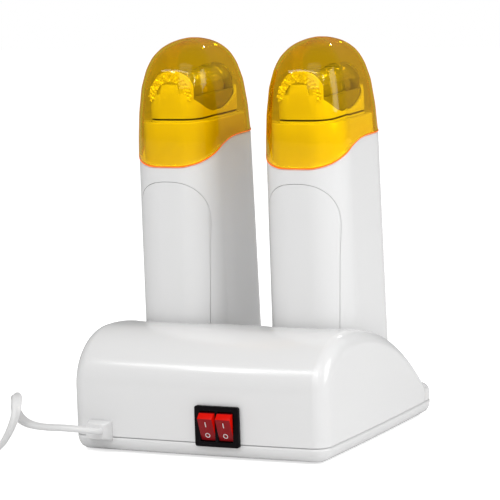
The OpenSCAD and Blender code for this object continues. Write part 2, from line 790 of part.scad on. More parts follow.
module contact_plates(side) {
  color(brass_part) at_dock(side) for (x = [-contact_x, contact_x]) translate([x, 0, 0.9]) union() {
    linear_extrude(0.7) rounded(6, 8, 1);
    cylinder(h = 2.6, d = 1.3);
  }
}

// ---------------------------------------------------------------- cartridge

module bottle(side) {
  color(amber_clear) at_dock(side)
    translate([0, 0, sleeve_foot_h + sleeve_wall + body_gap])
      linear_extrude(head_foot_h - sleeve_foot_h - sleeve_wall - body_gap)
        rounded(bottle_w, bottle_d, bottle_r);
}

module cartridge_head(side) {
  color(amber_clear) at_dock(side) difference() {
    union() {
      translate([0, 0, head_foot_h]) linear_extrude(head_top_h - head_foot_h)
        rounded(bottle_w, bottle_d, bottle_r);
      intersection() {
        for (s = [-1, 1]) facing(s * (bottle_d - cheek_t) / 2 - cheek_t / 2, cheek_t) union() {
          translate([0, roller_h]) circle(r = cheek_r);
          translate([-7, head_foot_h + 2]) square([14, roller_h - head_foot_h]);
        }
        translate([0, 0, head_foot_h]) linear_extrude(40) rounded(bottle_w, bottle_d, bottle_r);
      }
    }
    translate([0, 0, roller_h]) rotate([90, 0, 0])
      cylinder(h = bottle_d - 2 * cheek_t, r = roller_r + 0.6, center = true);
    translate([0, 0, roller_h]) rotate([90, 0, 0])
      cylinder(h = 2 * bottle_d, d = axle_dia + 2 * run_gap, center = true);
  }
}

module roller(side) {
  half = bottle_d / 2 - cheek_t - body_gap;
  color(amber_clear) at_dock(side) translate([0, 0, roller_h]) rotate([90, 0, 0]) union() {
    rotate_extrude() polygon(concat([[0, -half]],
      [for (k = [-6:6]) [roller_r - 2.6 * pow(abs(k) / 6, 2.4), half * k / 6]], [[0, half]]));
    cylinder(h = bottle_d - 1.2, d = axle_dia, center = true);
  }
}

module film(side) {
  color([1, 1, 1, 0.3]) at_dock(side)
    facing(-bottle_d / 2 + cheek_t, bottle_d - 2 * cheek_t)
      translate([0, roller_h]) polygon(concat(
        [for (a = [24:6:156]) (roller_r + 0.9) * [cos(a), sin(a)]],
        [for (a = [156:-6:24]) (roller_r + 0.6) * [cos(a), sin(a)]]));
}

// Ring of the cap at a size, moved in by inset
function cap_flat(size, inset) =
  rounded_ring(handset_w * size - 2 * inset, handset_d * size - 2 * inset,
    handset_r * size - inset, 5, 1, 5);

// Lowest and second ring, which follow the shoulder
function cap_rim(size, inset, t, h) =
  [for (p = cap_flat(size, inset)) [p.x, p.y, mix(lookup(p.y, shoulder) + cap_gap, h, t)]];

module cap(side) {
  color(amber_clear) at_dock(side) cup(
    concat([cap_rim(1.012, 0, 0, 0), cap_rim(1.006, 0, 0.5, 141.2)],
      [for (k = cap_outside) lifted(cap_flat(k[1], 0), k[0])]),
    [0, 0, cap_top_h],
    concat([cap_rim(1.012, cap_wall, 0, 0)],
      [for (k = cap_inside) lifted(cap_flat(k[1], cap_wall), k[0])]),
    [0, 0, cap_top_h - cap_wall]);
}

// ---------------------------------------------------------------- the two sides

module handset_body_left() {
  handset_body(-1);
}

module handset_body_right() {
  handset_body(1);
}

module rear_cover_left() {
  rear_cover(-1);
}

module rear_cover_right() {
  rear_cover(1);
}

module inner_sleeve_left() {
  inner_sleeve(-1);
}

module inner_sleeve_right() {
  inner_sleeve(1);
}

module level_window_left() {
  level_window(-1);
}

module level_window_right() {
  level_window(1);
}

module heater_plate_left() {
  heater_plate(-1);
}

module heater_plate_right() {
  heater_plate(1);
}

module heating_element_left() {
  heating_element(-1);
}

module heating_element_right() {
  heating_element(1);
}

module thermal_cutout_left() {
  thermal_cutout(-1);
}

module thermal_cutout_right() {
  thermal_cutout(1);
}

module contact_block_left() {
  contact_block(-1);
}

module contact_block_right() {
  contact_block(1);
}

module contact_plates_left() {
  contact_plates(-1);
}

module contact_plates_right() {
  contact_plates(1);
}

module bottle_left() {
  bottle(-1);
}

module bottle_right() {
  bottle(1);
}

module cartridge_head_left() {
  cartridge_head(-1);
}

module cartridge_head_right() {
  cartridge_head(1);
}

module roller_left() {
  roller(-1);
}

module roller_right() {
  roller(1);
}

module film_left() {
  film(-1);
}

module film_right() {
  film(1);
}

module cap_left() {
  cap(-1);
}

module cap_right() {
  cap(1);
}

hood();
tray();
well_left();
well_right();
guides_left();
guides_right();
screw_posts();
base_screws();
feet();
switch_bezel();
switch_body();
switch_terminals();
rocker_left();
rocker_right();
cord_gland();
cord_tail();
cord_clamp();
terminal_block();
dock_contacts();
cord_run();
cord_coil();
plug();
plug_pins();
handset_body_left();
rear_cover_left();
inner_sleeve_left();
level_window_left();
heater_plate_left();
heating_element_left();
thermal_cutout_left();
contact_block_left();
contact_plates_left();
bottle_left();
cartridge_head_left();
roller_left();
film_left();
cap_left();
handset_body_right();
rear_cover_right();
inner_sleeve_right();
level_window_right();
heater_plate_right();
heating_element_right();
thermal_cutout_right();
contact_block_right();
contact_plates_right();
bottle_right();
cartridge_head_right();
roller_right();
film_right();
cap_right();
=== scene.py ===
# %% [markdown]
# # Roll on wax heater
# Two handheld warmers with clear amber caps stand in a white base.
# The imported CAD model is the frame: it is loaded first and never moved.
# Every dressed piece is built round it, in metres, and rides on one of its bodies.

# %% Load the frame
import math

import bmesh
import bpy
import numpy as np
from mathutils import Matrix, Vector


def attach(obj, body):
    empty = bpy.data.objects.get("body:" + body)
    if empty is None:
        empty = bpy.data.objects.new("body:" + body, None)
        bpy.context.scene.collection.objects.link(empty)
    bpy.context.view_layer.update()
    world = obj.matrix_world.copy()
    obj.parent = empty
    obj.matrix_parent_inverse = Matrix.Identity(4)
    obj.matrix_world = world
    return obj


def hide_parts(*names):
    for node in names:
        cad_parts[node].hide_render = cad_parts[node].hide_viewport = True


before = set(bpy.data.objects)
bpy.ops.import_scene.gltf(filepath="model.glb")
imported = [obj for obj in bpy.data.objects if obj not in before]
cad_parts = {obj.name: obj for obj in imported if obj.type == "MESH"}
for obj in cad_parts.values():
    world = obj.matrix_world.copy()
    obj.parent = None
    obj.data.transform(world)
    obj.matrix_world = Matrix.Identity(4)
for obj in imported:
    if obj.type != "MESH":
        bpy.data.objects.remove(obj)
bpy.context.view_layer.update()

# %% [markdown]
# The camera stands behind the heater, a little above it, with a long lens.
# Its place, lens and slight roll were fitted to the outline of the base and the handsets,
# so the picture and the render can be laid over each other.

# %% Camera
BASE_Y = -3.7                     # the base's middle lies this far in front of the origin, in mm
CAMERA_SPOT = Vector((-0.6133, 1.2759, 0.2838))
CAMERA_AIM = Vector((0, BASE_Y / 1000, 0.1))
CAMERA_ROLL = math.radians(-1.93)
camera = bpy.data.objects.new("camera", bpy.data.cameras.new("camera"))
bpy.context.collection.objects.link(camera)
camera.data.lens = 199.66
camera.data.sensor_width = 36
camera.data.shift_x = -0.0035
camera.data.shift_y = -0.0179
camera.data.clip_end = 20
ahead = (CAMERA_AIM - CAMERA_SPOT).normalized()
flat_right = ahead.cross(Vector((0, 0, 1))).normalized()
flat_up = flat_right.cross(ahead)
right = flat_right * math.cos(CAMERA_ROLL) + flat_up * math.sin(CAMERA_ROLL)
upward = flat_up * math.cos(CAMERA_ROLL) - flat_right * math.sin(CAMERA_ROLL)
turn = Matrix((right, upward, -ahead)).transposed().to_4x4()
camera.matrix_world = Matrix.Translation(CAMERA_SPOT) @ turn
bpy.context.scene.camera = camera
print("camera", tuple(round(v, 3) for v in camera.location), "lens", camera.data.lens)

# %% [markdown]
# A few small helpers make most of the shapes.
# `ring` gives the rounded rectangle that the base, the handsets and the caps share.
# `finished` merges doubles, recalculates the normals and sets smooth shading with crisp edges.
# `skin` joins a stack of rings into one closed surface, which is how a moulded shell is drawn.
# `band` joins rings into a closed loop, and `prism` pushes a flat outline through space.
# `cut` subtracts, adds or intersects other pieces, and `refreshed` cleans up after it.

# %% Shape helpers
def ring(w, d, r, corner=12, nx=2, ny=6):
    """Rounded rectangle, anticlockwise, in mm: points at the corners and along the sides."""
    hx, hy = w / 2 - r, d / 2 - r
    middles = [(hx, hy), (-hx, hy), (-hx, -hy), (hx, -hy)]
    out = []
    for q in range(4):
        c, n = np.array(middles[q]), np.array(middles[(q + 1) % 4])
        a = np.radians(90 * (q + np.linspace(0, 1, corner + 1)))
        out += [c + r * np.array([math.cos(t), math.sin(t)]) for t in a]
        s = r * np.array([math.cos(a[-1]), math.sin(a[-1])])
        m = nx if q % 2 == 0 else ny
        out += [c + s + (n - c) * k / (m + 1) for k in range(1, m + 1)]
    return np.array(out)


def at_height(flat, z):
    """The flat ring lifted to height z, which may be one number or one for each point."""
    return np.column_stack([flat, np.broadcast_to(z, len(flat))])


def finished(name, bm, smooth=40, bevel=0):
    """A mesh object from a bmesh in metres, with outward normals, smooth but for sharp edges."""
    bmesh.ops.remove_doubles(bm, verts=bm.verts, dist=1e-6)
    bmesh.ops.recalc_face_normals(bm, faces=bm.faces)
    if bevel:
        sharp = [e for e in bm.edges
                 if len(e.link_faces) == 2 and e.calc_face_angle(0) > math.radians(smooth)]
        bmesh.ops.bevel(bm, geom=sharp, offset=bevel, segments=2, profile=0.5, affect="EDGES",
                        clamp_overlap=True)
        bmesh.ops.remove_doubles(bm, verts=bm.verts, dist=1e-6)
        bmesh.ops.recalc_face_normals(bm, faces=bm.faces)
    mesh = bpy.data.meshes.new(name)
    bm.to_mesh(mesh)
    bm.free()
    obj = bpy.data.objects.new(name, mesh)
    bpy.context.collection.objects.link(obj)
    for p in mesh.polygons:
        p.use_smooth = True
    mesh.set_sharp_from_angle(angle=math.radians(smooth))
    return obj


def skin(name, rings, smooth=40):
    """One closed surface through a stack of rings given in metres."""
    bm = bmesh.new()
    rows = [[bm.verts.new(p) for p in r] for r in rings]
    n = len(rows[0])
    for low, high in zip(rows, rows[1:]):
        for j in range(n):
            bm.faces.new((low[j], low[(j + 1) % n], high[(j + 1) % n], high[j]))
    bm.faces.new(list(reversed(rows[0])))
    bm.faces.new(rows[-1])
    return finished(name, bm, smooth)


def band(name, rings):
    """A closed loop of rings: the last one joins the first, as round a frame."""
    bm = bmesh.new()
    rows = [[bm.verts.new(p) for p in r] for r in rings]
    n = len(rows[0])
    for a in range(len(rows)):
        low, high = rows[a], rows[(a + 1) % len(rows)]
        for j in range(n):
            bm.faces.new((low[j], low[(j + 1) % n], high[(j + 1) % n], high[j]))
    return finished(name, bm)


def prism(name, outline, low, high, place):
    """A flat outline pushed from low to high, put in place by a function of three mm numbers."""
    return skin(name, [np.array([place(a, b, k) for a, b in outline]) for k in (low, high)])


def cut(obj, tools, how="DIFFERENCE"):
    """The piece after its cutters: each is used once and then removed."""
    for tool in tools:
        mod = obj.modifiers.new("cut", "BOOLEAN")
        mod.operation, mod.object, mod.solver = how, tool, "EXACT"
        bpy.context.view_layer.update()
        mesh = bpy.data.meshes.new_from_object(obj.evaluated_get(bpy.context.evaluated_depsgraph_get()))
        obj.modifiers.remove(mod)
        obj.data = mesh
        bpy.data.objects.remove(tool)
    return obj


def refreshed(obj, smooth=35):
    """The piece rebuilt with merged corners and clean shading."""
    bm = bmesh.new()
    bm.from_mesh(obj.data)
    name = obj.name
    bpy.data.objects.remove(obj)
    return finished(name, bm, smooth)


print("helpers ready; a ring has", len(ring(45, 68, 18)), "points")

# %% [markdown]
# Moulded plastic is never quite even: it has a very fine unevenness that softens reflections.
# One node group makes that effect for every plastic here. It gives a roughness and a height,
# and each material passes its own numbers. The shader itself stays in the material.

# %% Shared finish group
def fine_finish_group():
    """Node group with a slightly uneven roughness and a height for Bump."""
    tree = bpy.data.node_groups.new("fine_finish", "ShaderNodeTree")
    face = tree.interface
    for label, value in (("Grain Scale", 900.0), ("Roughness", 0.3), ("Variation", 0.05),
                         ("Wave Scale", 30.0)):
        s = face.new_socket(name=label, in_out="INPUT", socket_type="NodeSocketFloat")
        s.default_value = value
    face.new_socket(name="Roughness", in_out="OUTPUT", socket_type="NodeSocketFloat")
    face.new_socket(name="Height", in_out="OUTPUT", socket_type="NodeSocketFloat")
    nodes, links = tree.nodes, tree.links
    inp, out = nodes.new("NodeGroupInput"), nodes.new("NodeGroupOutput")
    where = nodes.new("ShaderNodeTexCoord")
    grain, wave = nodes.new("ShaderNodeTexNoise"), nodes.new("ShaderNodeTexNoise")
    grain.inputs["Detail"].default_value = 3
    wave.inputs["Detail"].default_value = 1
    links.new(where.outputs["Object"], grain.inputs["Vector"])
    links.new(where.outputs["Object"], wave.inputs["Vector"])
    links.new(inp.outputs["Grain Scale"], grain.inputs["Scale"])
    links.new(inp.outputs["Wave Scale"], wave.inputs["Scale"])
    spread = nodes.new("ShaderNodeMath")
    spread.operation = "MULTIPLY_ADD"
    links.new(wave.outputs["Fac"], spread.inputs[0])
    links.new(inp.outputs["Variation"], spread.inputs[1])
    links.new(inp.outputs["Roughness"], spread.inputs[2])
    links.new(spread.outputs[0], out.inputs["Roughness"])
    links.new(grain.outputs["Fac"], out.inputs["Height"])
    return tree


FINE_FINISH = fine_finish_group()


def plastic(name, color, roughness=0.3, variation=0.05, grain=900, bump=0.02, **sockets):
    """Principled material whose roughness and bump come from the shared finish group."""
    mat = bpy.data.materials.new(name)
    mat.use_nodes = True
    nodes, links = mat.node_tree.nodes, mat.node_tree.links
    shader = nodes["Principled BSDF"]
    shader.inputs["Base Color"].default_value = (*color, 1)
    for key, value in sockets.items():
        shader.inputs[key.replace("_", " ")].default_value = value
    group = nodes.new("ShaderNodeGroup")
    group.node_tree = FINE_FINISH
    group.inputs["Grain Scale"].default_value = grain
    group.inputs["Roughness"].default_value = roughness
    group.inputs["Variation"].default_value = variation
    links.new(group.outputs["Roughness"], shader.inputs["Roughness"])
    if bump:
        push = nodes.new("ShaderNodeBump")
        push.inputs["Strength"].default_value = bump
        push.inputs["Distance"].default_value = 0.0002
        links.new(group.outputs["Height"], push.inputs["Height"])
        links.new(push.outputs["Normal"], shader.inputs["Normal"])
    return mat


def lets_light_in(mat, tint):
    """Shadow rays pass a clear piece, tinted, so what is inside it stays lit."""
    nodes, links = mat.node_tree.nodes, mat.node_tree.links
    out, shader = nodes["Material Output"], nodes["Principled BSDF"]
    path, clear, mixed = (nodes.new("ShaderNodeLightPath"), nodes.new("ShaderNodeBsdfTransparent"),
                          nodes.new("ShaderNodeMixShader"))
    clear.inputs["Color"].default_value = (*tint, 1)
    links.new(path.outputs["Is Shadow Ray"], mixed.inputs["Fac"])
    links.new(shader.outputs["BSDF"], mixed.inputs[1])
    links.new(clear.outputs["BSDF"], mixed.inputs[2])
    links.new(mixed.outputs["Shader"], out.inputs["Surface"])
    return mat


def edge_glow(mat, tint=(0.85, 0.26, 0.004)):
    """Seen edge on, a clear coloured wall turns to a deeper, duller colour."""
    nodes, links = mat.node_tree.nodes, mat.node_tree.links
    shader, out = nodes["Principled BSDF"], nodes["Material Output"]
    rim, steep, body, mixed = (nodes.new("ShaderNodeLayerWeight"), nodes.new("ShaderNodeMath"),
                               nodes.new("ShaderNodeBsdfDiffuse"), nodes.new("ShaderNodeMixShader"))
    rim.inputs["Blend"].default_value = 0.5
    steep.operation = "POWER"
    steep.inputs[1].default_value = 5.0
    body.inputs["Color"].default_value = (*tint, 1)
    links.new(rim.outputs["Facing"], steep.inputs[0])
    links.new(steep.outputs[0], mixed.inputs["Fac"])
    old = out.inputs["Surface"].links[0].from_socket
    links.new(old, mixed.inputs[1])
    links.new(body.outputs["BSDF"], mixed.inputs[2])
    links.new(mixed.outputs["Shader"], out.inputs["Surface"])
    return mat


# %% [markdown]
# The finishes: glossy white shell, satin white cord and sleeve, clear amber, black and red switch,
# brass, steel, rubber, bright foil, and the olive tint of the wax seen through its bottle.
# The amber of the caps takes two extra steps. Light must pass it to reach the sleeve inside,
# and seen edge on, at the outline of the dome, it has to turn from yellow to a deep orange.

# %% Materials
PLAIN_WHITE = (0.80, 0.80, 0.80)
white_shell = plastic("white_shell", PLAIN_WHITE, 0.2, 0.06, 700, 0.015, Coat_Weight=0.3, Coat_Roughness=0.08)
sleeve_white = plastic("sleeve_white", PLAIN_WHITE, 0.3, 0.05)
gland_white = plastic("gland_white", PLAIN_WHITE, 0.35, 0.05)
cord_white = plastic("cord_white", (0.76, 0.76, 0.76), 0.42, 0.1, 1400, 0.06)
switch_black = plastic("switch_black", (0.004, 0.003, 0.004), 0.35, 0.1, 1200, 0.05, Specular_IOR_Level=0.08)
rocker_red = plastic("rocker_red", (0.25, 0.008, 0.012), 0.2, 0.05, 700, 0.01,
                     Specular_IOR_Level=0.15, Emission_Color=(0.8, 0.004, 0.002, 1), Emission_Strength=0.02)
rocker_lit = plastic("rocker_lit", (0.60, 0.006, 0.002), 0.2, 0.05, 700, 0.01,
                     Specular_IOR_Level=0.1, Emission_Color=(1, 0.004, 0.0, 1), Emission_Strength=0.12)
mark_white = plastic("mark_white", (0.85, 0.82, 0.82), 0.5, 0.05)
brass_contact = plastic("brass_contact", (0.78, 0.57, 0.25), 0.28, 0.1, 600, 0.03, Metallic=1.0)
screw_metal = plastic("screw_metal", (0.55, 0.55, 0.57), 0.32, 0.1, 600, 0.03, Metallic=1.0)
heater_metal = plastic("heater_metal", (0.72, 0.73, 0.75), 0.35, 0.1, 500, 0.05, Metallic=1.0)
foot_rubber = plastic("foot_rubber", (0.035, 0.035, 0.035), 0.7, 0.1, 1500, 0.15)
head_plastic = plastic("head_plastic", (0.80, 0.78, 0.70), 0.3, 0.05)
cap_amber = lets_light_in(plastic("cap_amber", (0.99, 0.745, 0.002), 0.02, 0.01, 300, 0,
                                  Transmission_Weight=1.0, IOR=1.3), (1.0, 0.94, 0.7))
edge_glow(cap_amber)
window_amber = lets_light_in(plastic("window_amber", (0.80, 0.48, 0.05), 0.12, 0.05, 900, 0.01,
                                     Transmission_Weight=0.6, IOR=1.4), (0.9, 0.7, 0.3))
wax_bottle = plastic("wax_bottle", (0.27, 0.26, 0.02), 0.2, 0.05, 900, 0.01)
roller_olive = plastic("roller_olive", (0.30, 0.28, 0.05), 0.12, 0.06, 500, 0.02, Coat_Weight=0.4)
clear_film = lets_light_in(plastic("clear_film", (0.98, 0.98, 0.98), 0.05, 0.05, 300, 0,
                                   Transmission_Weight=0.95, IOR=1.45), (0.97, 0.97, 0.97))
foil = plastic("foil", (0.92, 0.91, 0.80), 0.12, 0.1, 300, 0.05, Metallic=0.2, Specular_IOR_Level=1.0)
# painted shade for the faces inside the sleeve's slit
shadow_gap = plastic("shadow_gap", (0.07, 0.06, 0.02), 0.6, 0.1)
cap_edge = plastic("cap_edge", (1.0, 0.20, 0.0), 0.2, 0.05, 300, 0,
                   Emission_Color=(1.0, 0.16, 0.0, 1), Emission_Strength=0.35)
print("materials", len(bpy.data.materials))


# %% [markdown]
# A dressed piece is told three things: its material, the CAD body it moves with,
# and the CAD nodes it stands for. `dress` does all three in one line.

# %% Dressing helper
def dress(obj, mat, body, slot, *nodes):
    """Material, body and the nodes that the piece replaces; the slot is not used."""
    obj.data.materials.clear()
    obj.data.materials.append(mat)
    for p in obj.data.polygons:
        p.material_index = 0
    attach(obj, body)
    if nodes:
        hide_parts(*nodes)
    return obj


def refined(node, mat, body, slot, smooth=35, bevel=0):
    """A merged, smoothly shaded copy of a CAD node, with fine bevels on its edges when a bevel width is given."""
    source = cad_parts[node]
    bm = bmesh.new()
    bm.from_mesh(source.data)
    obj = finished(node + "_piece", bm, smooth, bevel)
    return dress(obj, mat, body, slot, node)


# %% [markdown]
# The cord is a flat twin lead, so it is a sweep of a figure-of-eight section and not a round tube.
# The route is the one in the part's source. A smooth curve is laid through its points,
# and the way the thin side faces is carried along so that the flat lead never flips.

# %% Cord route
CORD_T, CORD_W = 2.9, 5.5
ROUTE = np.array([[50.4, 76.3, 13.2], [50.6, 79, 13.5], [52, 83, 14.5], [56, 86.4, 15.6],
                  [63, 88.3, 16.2], [72, 88, 16], [81, 85.5, 15.8], [90, 80.5, 16.2], [97, 74.8, 17.8],
                  [101.3, 71, 21], [101.3, 71.4, 25.2], [98.3, 75.2, 28], [94, 81.6, 28.8],
                  [90.6, 88, 27], [89.2, 91.6, 22.6], [91, 92.8, 16.4], [95.4, 92, 9.6],
                  [100, 91, 4.8], [105, 92, 2.8], [111, 96, 3], [118, 100, 3], [127, 102.4, 3],
                  [136, 103.5, 3], [149, 103.6, 3], [162, 103.6, 3]])
THIN = np.array([[0, 0, 1], [0, 0, 1], [0, 0, 1], [0, 0, 1], [0, 0, 1], [0, 0, 1],
                 [0, 0, 1], [0, 0.2, 1], [-0.3, 0.4, 1], [-1, 0.2, 0.6], [-1, -0.4, 0], [-0.5, -0.3, -1],
                 [0, 0, -1], [0.3, 0, -1], [1, 0, -0.3], [1, 0, 0.3], [0.8, 0.2, 0.7],
                 [0.4, 0.3, 1], [0, 0.5, 1], [-0.3, 1, 0.7], [-0.3, 1, 0.2], [0, 1, 0], [0, 1, 0],
                 [0, 1, 0], [0, 1, 0]])
COIL_R, COIL_TURNS, COIL_TAIL = 25.5, 2.875, 24
COIL_PITCH, COIL_LAYER = CORD_T + 0.8, CORD_W + 0.7
COIL_OUT = COIL_R + (COIL_TURNS + 0.5) * COIL_PITCH


def eased(points, steps=6):
    """Points of a smooth curve through the given ones (Catmull-Rom)."""
    p = np.vstack([2 * points[0] - points[1], points, 2 * points[-1] - points[-2]])
    out = []
    for i in range(1, len(p) - 2):
        for t in np.arange(steps) / steps:
            a, b, c, d = p[i - 1:i + 3]
            out.append(0.5 * (2 * b + (c - a) * t + (2 * a - 5 * b + 4 * c - d) * t ** 2
                              + (3 * b - a - 3 * c + d) * t ** 3))
    return np.array(out + [p[-2]])


def coil_points():
    """The coil's middle line: inward, up a layer, quickly out, then outward."""
    k, out = COIL_TURNS, []
    least = COIL_OUT - COIL_PITCH * (k + 0.5)
    for i in range(int((2 * k + 0.5) * 48) + 1):
        s = i / 48
        if s < k + 0.5:
            r = COIL_OUT - COIL_PITCH * s
        elif s < k + 1:
            r = least + 3 * COIL_PITCH * (s - k - 0.5)
        else:
            r = least + 1.5 * COIL_PITCH + COIL_PITCH * (s - k - 1)
        t = min(max((s - k) * 2, 0), 1)
        a = math.pi / 2 - 2 * math.pi * s
        out.append([ROUTE[-1][0] + r * math.cos(a), ROUTE[-1][1] - COIL_OUT + r * math.sin(a),
                    ROUTE[-1][2] + COIL_LAYER * t * t * (3 - 2 * t)])
    return np.array(out)


run_line, run_thin = eased(ROUTE), eased(THIN.astype(float))
coil_line = coil_points()
last_way = coil_line[-1] - coil_line[-2]
coil_line = np.vstack([coil_line, coil_line[-1] + last_way / np.linalg.norm(last_way) * COIL_TAIL])


def ways(line):
    """Direction of travel at each point of a line."""
    d = np.gradient(line, axis=0)
    return d / np.linalg.norm(d, axis=1)[:, None]


def flat_lead(name, line, thin):
    """Sweep of the twin lead's section, thin towards the given directions."""
    corners = 20
    angles = np.radians(np.arange(corners) * 360 / corners)
    wide = CORD_W / 2 * np.sign(np.cos(angles)) * np.abs(np.cos(angles)) ** 0.75
    waist = 1 - 0.18 * np.exp(-(wide / 0.7) ** 2)
    high = CORD_T / 2 * np.sign(np.sin(angles)) * np.minimum(np.abs(np.sin(angles)) * 1.25, 1) * waist
    rings = []
    for p, t, u in zip(line, ways(line), thin):
        side = np.cross(u, t)
        side /= np.linalg.norm(side)
        up = np.cross(t, side)
        rings.append((p + np.outer(wide, side) + np.outer(high, up)) / 1000)
    return skin(name, rings, 60)


def length_mm(line):
    return float(np.linalg.norm(np.diff(line, axis=0), axis=1).sum())


# %% [markdown]
# The visible run and the stored coil are two pieces that meet face to face, as in the source.

# %% Cord pieces
coil_ways = ways(coil_line)
coil_thin = np.column_stack([-coil_ways[:, 1], coil_ways[:, 0], np.zeros(len(coil_line))])
cord_run = dress(flat_lead("cord_run_piece", run_line, run_thin),
                 cord_white, "base", "cord_white", "cord_run")
cord_coil = dress(flat_lead("cord_coil_piece", coil_line, coil_thin),
                  cord_white, "base", "cord_white", "cord_coil")
plug_piece = refined("plug", gland_white, "base", "gland_white", 40)
pins_piece = refined("plug_pins", brass_contact, "base", "brass_contact", 40, 0.0006)
print("cord run", round(length_mm(run_line)), "mm, coil", round(length_mm(coil_line)), "mm")

# %% [markdown]
# The hood of the base is an arched side profile carried across the width, with softly rounded ends
# and a slight bow on every side. It is lofted like the source, but with many more stations,
# so that the long reflections along its rear edge run without facets.

# %% Hood
BASE_W, BASE_D, BOW, SEAM, TOP = 140.0, 142.8, 1.2, 8.6, 60.5
EDGE_R, WALL, LIP_Z = 7.5, 2.4, 17.5
SEAM_GAP = 0.3                    # shows as the fine dark line round the base
HALF_D, FRONT = BASE_D / 2, 8.4 - BASE_D / 2
ROUND_D, ROUND_H = 33.0, 27.5
CURVE = np.array([[HALF_D - ROUND_D, TOP], [-4, TOP], [-34, 44], [FRONT, LIP_Z + 1]])


def bowed(p):
    """The outward bow of the base at a point in mm."""
    x, y, z = p
    return (x * (1 + BOW / (BASE_W / 2) * (1 - (y / HALF_D) ** 2)),
            y * (1 + BOW / HALF_D * (1 - min(abs(x) / (BASE_W / 2), 1) ** 2)) + BASE_Y, z)


def hood_profile(inset, foot):
    """Side profile moved in along its normals."""
    pts = [(HALF_D - inset, z) for z in np.linspace(foot, TOP - ROUND_H, 6)[:-1]]
    for a in np.radians(np.arange(0, 91, 4.5)):
        n = np.array([math.cos(a) / ROUND_D, math.sin(a) / ROUND_H])
        edge = np.array([HALF_D - ROUND_D + ROUND_D * math.cos(a), TOP - ROUND_H + ROUND_H * math.sin(a)])
        pts.append(tuple(edge - inset * n / np.linalg.norm(n)))
    for t in np.arange(1, 41) / 40:
        q = ((1 - t) ** 3 * CURVE[0] + 3 * (1 - t) ** 2 * t * CURVE[1]
             + 3 * (1 - t) * t * t * CURVE[2] + t ** 3 * CURVE[3])
        v = ((1 - t) ** 2 * (CURVE[1] - CURVE[0]) + 2 * (1 - t) * t * (CURVE[2] - CURVE[1])
             + t * t * (CURVE[3] - CURVE[2]))
        n = np.array([v[1], -v[0]]) / np.linalg.norm(v)
        pts.append(tuple(q - inset * n))
    return np.array(pts + [(FRONT + inset, foot), (0, foot)])


HOOD_MIDDLE = np.array([4, 28])    # the end faces close towards this point of the side profile


def hood_ring(x, half_w, r, inset, foot, size=1.0):
    """The side profile at one place across the width, drawn in where the ends round off."""
    e = max(abs(x) - half_w + r, 0)
    d = r - math.sqrt(max(r * r - e * e, 0))
    q = HOOD_MIDDLE + (hood_profile(inset + d, foot) - HOOD_MIDDLE) * size
    return np.array([bowed((x, y, max(z, foot))) for y, z in q]) / 1000


def hood_form(name, inset, foot):
    """The whole arched form, closed at both ends by ever smaller profiles."""
    half_w, r = BASE_W / 2 - inset, EDGE_R - inset
    turns = np.radians(np.linspace(90, 0, 13))
    rings = [hood_ring(-half_w, half_w, r, inset, foot, s) for s in (0.2, 0.45, 0.7, 0.88)]
    rings += [hood_ring(-half_w + r - r * math.sin(a), half_w, r, inset, foot) for a in turns]
    rings += [hood_ring(x, half_w, r, inset, foot) for x in np.linspace(-54, 54, 13)]
    rings += [hood_ring(half_w - r + r * math.sin(a), half_w, r, inset, foot) for a in turns[::-1]]
    rings += [hood_ring(half_w, half_w, r, inset, foot, s) for s in (0.88, 0.7, 0.45, 0.2)]
    return skin(name, rings)


def plan_ring(inset, z):
    """The base's bowed outline seen from above, at height z."""
    flat = ring(BASE_W - 2 * inset, BASE_D - 2 * inset, max(EDGE_R - inset, 0.8), 12, 12, 12)
    return np.array([bowed((x, y, z)) for x, y in flat]) / 1000


lip_steps = [(SEAM + SEAM_GAP, 0.12), (LIP_Z - 4.2, 0.12), (LIP_Z - 3.4, 0.2), (LIP_Z - 2.6, 0.5),
             (LIP_Z - 1.8, 1.0), (LIP_Z - 1.1, 1.7), (LIP_Z - 0.5, 2.7), (LIP_Z - 0.15, 3.6), (LIP_Z, 4.6)]
hood = hood_form("hood_piece", 0, SEAM + SEAM_GAP)
cut(hood, [skin("lip", [plan_ring(i, z) for z, i in lip_steps])], "UNION")
cut(hood, [hood_form("inside", WALL, 0.0),
           skin("lip_inside", [plan_ring(WALL, 0.0), plan_ring(WALL, LIP_Z - WALL)])])
print("hood faces", len(hood.data.polygons))

# %% [markdown]
# The handsets stand in two wells, leaning back a little. `dock` turns a place measured
# from the foot of a handset into the frame, so wells, bodies and caps all share one lean.

# %% Docks and well openings
DOCK_X, DOCK_Y, DOCK_Z, LEAN = 36.4, -15.3, 14.0, math.radians(1.4)
TAPER, TAPER_H = 0.0076, 136.0
HAND_W, HAND_D, HAND_R = 45.2, 68.4, 18.3
SIDES = {"left": -1, "right": 1}


def dock(side, pts):
    """Places in the dock's own frame, in mm, as places in the row frame, in metres."""
    p = np.atleast_2d(np.asarray(pts, float))
    y = p[:, 1] * math.cos(LEAN) + p[:, 2] * math.sin(LEAN)
    z = -p[:, 1] * math.sin(LEAN) + p[:, 2] * math.cos(LEAN)
    return np.column_stack([p[:, 0] + SIDES[side] * DOCK_X, y + BASE_Y + DOCK_Y, z + DOCK_Z]) / 1000


grown = 2 * TAPER * TAPER_H        # how much wider a handset is at its foot
WELL_GAP_X, WELL_GAP_Y = 5.2, 2.5
WELL = (HAND_W + grown + 2 * WELL_GAP_X, HAND_D + grown + 2 * WELL_GAP_Y, HAND_R + WELL_GAP_Y)
for side in SIDES:
    outline = ring(*WELL, 16, 4, 10)
    cut(hood, [skin("well_cutter", [dock(side, at_height(outline, h)) for h in (-0.3, 60)])])


def box_cutter(lo, hi):
    outline = [(lo[0], lo[1]), (hi[0], lo[1]), (hi[0], hi[1]), (lo[0], hi[1])]
    return prism("box_cutter", outline, lo[2], hi[2], lambda a, b, k: (a / 1000, b / 1000, k / 1000))


